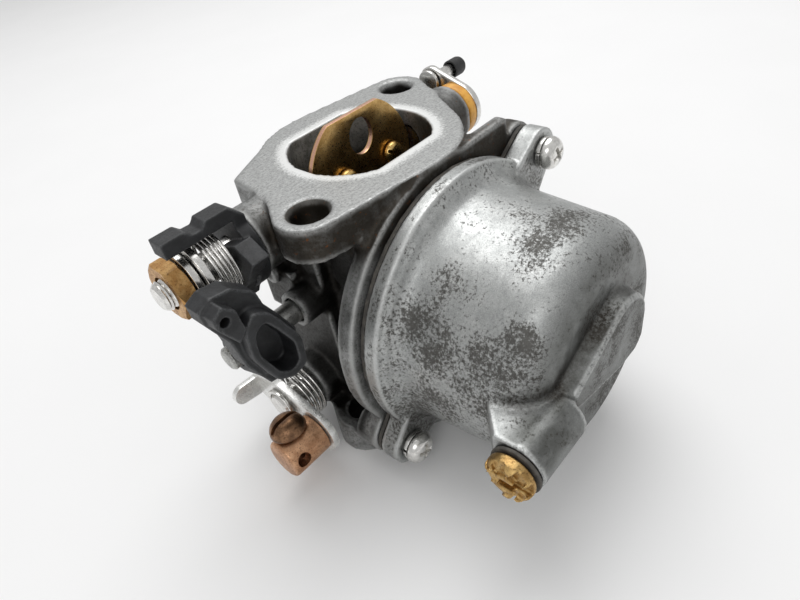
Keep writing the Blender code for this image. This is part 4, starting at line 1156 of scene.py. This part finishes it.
CAM_OUTLINE = [(-50.4, 56.2), (-50.2, 53.4), (-47.6, 47.6), (-46.6, 41.0), (-43.6, 34.4),
               (-36.6, 33.4), (-35.3, 41.7), (-37.9, 47.2), (-39.6, 50.4), (-40.2, 53.6),
               (-44.0, 56.8), (-47.8, 57.4)]
CAM_RIM = [(-45.9, 49.6), (-46.1, 43.6), (-43.4, 36.4), (-40.0, 34.4), (-36.6, 35.4),
           (-36.2, 41.6), (-38.8, 47.4), (-40.6, 50.6), (-43.4, 52.2)]
CAM_POCKET = [(-44.3, 48.0), (-44.7, 43.8), (-42.3, 37.6), (-40.0, 36.1), (-38.1, 36.9),
              (-37.8, 41.2), (-40.2, 46.4), (-42.0, 49.4)]
CAM_HOOK = [(-50.0, 55.8), (-49.8, 53.6), (-47.2, 48.9), (-45.4, 50.6), (-45.8, 55.0), (-47.8, 57.0)]


def make_cam():
    """The black fast idle lever, with a pocket and a hook in its face, and its pin."""
    hub = hull([(*CAM, 4.0), (-11.5, 38, 2.5)], 48)
    lever = join(plate("lever", CAM_OUTLINE, "XZ", -13.6, -9.4),
                 plate("hub", hub, "YZ", -44.2, -36.2),
                 plate("rim", round_corners(CAM_RIM, 1.2), "XZ", -16.2, -13.0),
                 plate("hook", CAM_HOOK, "XZ", -16.6, -13.1))
    lever = cut(lever, plate("pocket", round_corners(CAM_POCKET, 1.2), "XZ", -18.0, -11.6),
                rod_x("bore", CAM_PIN + GAP, -50, -30, *CAM, 48),
                rod("small_hole", 0.9, (-48.2, -20, 54.2), (-48.2, -5, 54.2), 24))
    lever = cast(lever, 0.22, 2)
    shape_masks(lever)
    settle(lever, "cam_lever", "fast_idle_cam", "plastic", 0)
    profile = [(0, -46.0), (2.0, -46.0), (CAM_PIN, -45.6), (CAM_PIN, -22.2), (0, -22.2)]
    pin = turned("pin", profile, (0, *CAM), (1, 0, 0), 48)
    settle(pin, "cam_pivot_pin", "body", "dull_steel")


def make_fuel_inlet():
    profile = [(1.5, 16.0), (2.2, 16.0), (2.9, 13.6), (2.2, 13.4), (2.9, 11.0), (2.2, 10.8), (2.2, 3.6),
               (3.9, 3.6), (3.9, 2.2), (2.7, 2.2), (2.7, -4.0), (1.5, -4.0)]
    nipple = turned("nipple", profile, (25.2, *FUEL), (1, 0, 0), 72, closed=True)
    settle(soften(nipple, 0.12, 2), "fuel_inlet_nipple", "body", "gold")


def paint_frame_nodes():
    """Give the CAD nodes that stay, most of them inside the bowl, their materials."""
    chosen = {
        "bowl_gasket": "fibre", "float": "rubber", "float_pin": "nickel",
        "needle_valve": "nickel", "valve_seat": "gold", "main_nozzle": "gold",
        "main_jet": "gold", "pilot_jet": "gold",
    }
    for node, material in chosen.items():
        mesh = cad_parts[node].data
        mesh.materials.clear()
        mesh.materials.append(MATERIALS[material])


make_bowl_screws()
make_drain_plug()
make_choke_valve()
make_choke_lever()
make_choke_stack()
make_choke_end()
make_throttle_lever()
make_cable_clamp()
make_throttle_valve()
make_idle_parts()
make_cam()
make_fuel_inlet()
paint_frame_nodes()


# ---------------------------------------------------------------- studio

def floor():
    p = Paint("pale_board")
    grain = p.noise(0.02, 3.0, 0.5)
    p.colour(p.mix(p.span(grain, 0.3, 0.7), (0.84, 0.84, 0.84), (0.85, 0.85, 0.85)))
    p.rough(0.7)
    bm = bmesh.new()
    bmesh.ops.create_grid(bm, x_segments=1, y_segments=1, size=3.0)
    mesh = bpy.data.meshes.new("floor")
    bm.to_mesh(mesh)
    bm.free()
    mesh.materials.append(p.material)
    board = new_object("floor", mesh)


def area_light(name, spot, size, power):
    """A round white light that faces the carburetor's middle."""
    data = bpy.data.lights.new(name, "AREA")
    data.shape = "DISK"
    data.size = size
    data.energy = power
    light = new_object(name, data)
    light.location = spot
    light.rotation_mode = "QUATERNION"
    light.rotation_quaternion = (Vector((0, 0, 0.03)) - Vector(spot)).to_track_quat("-Z", "Y")


def studio():
    floor()
    world = bpy.data.worlds.new("studio")
    bpy.context.scene.world = world
    world.use_nodes = True
    back = world.node_tree.nodes["Background"]
    back.inputs["Color"].default_value = (1.0, 1.0, 1.0, 1.0)
    back.inputs["Strength"].default_value = 0.6
    area_light("key", (0.22, 0.2, 0.75), 0.7, 3.7)
    area_light("side", (-0.5, -0.35, 0.5), 0.4, 0.8)
    bpy.context.scene.view_settings.view_transform = "Standard"


def camera():
    data = bpy.data.cameras.new("camera")
    data.lens = 27.0
    data.sensor_width = 36.0
    data.clip_start = 0.001
    view = new_object("camera", data)
    turn = Matrix(((0.6554, 0.5536, -0.5138), (-0.741, 0.3396, -0.5793), (-0.1462, 0.7604, 0.6328)))
    spot = BORE + Vector((-76.1, -88.9, 111.5)) * MM
    view.matrix_world = Matrix.Translation(spot) @ turn.to_4x4()
    bpy.context.scene.camera = view


studio()
camera()
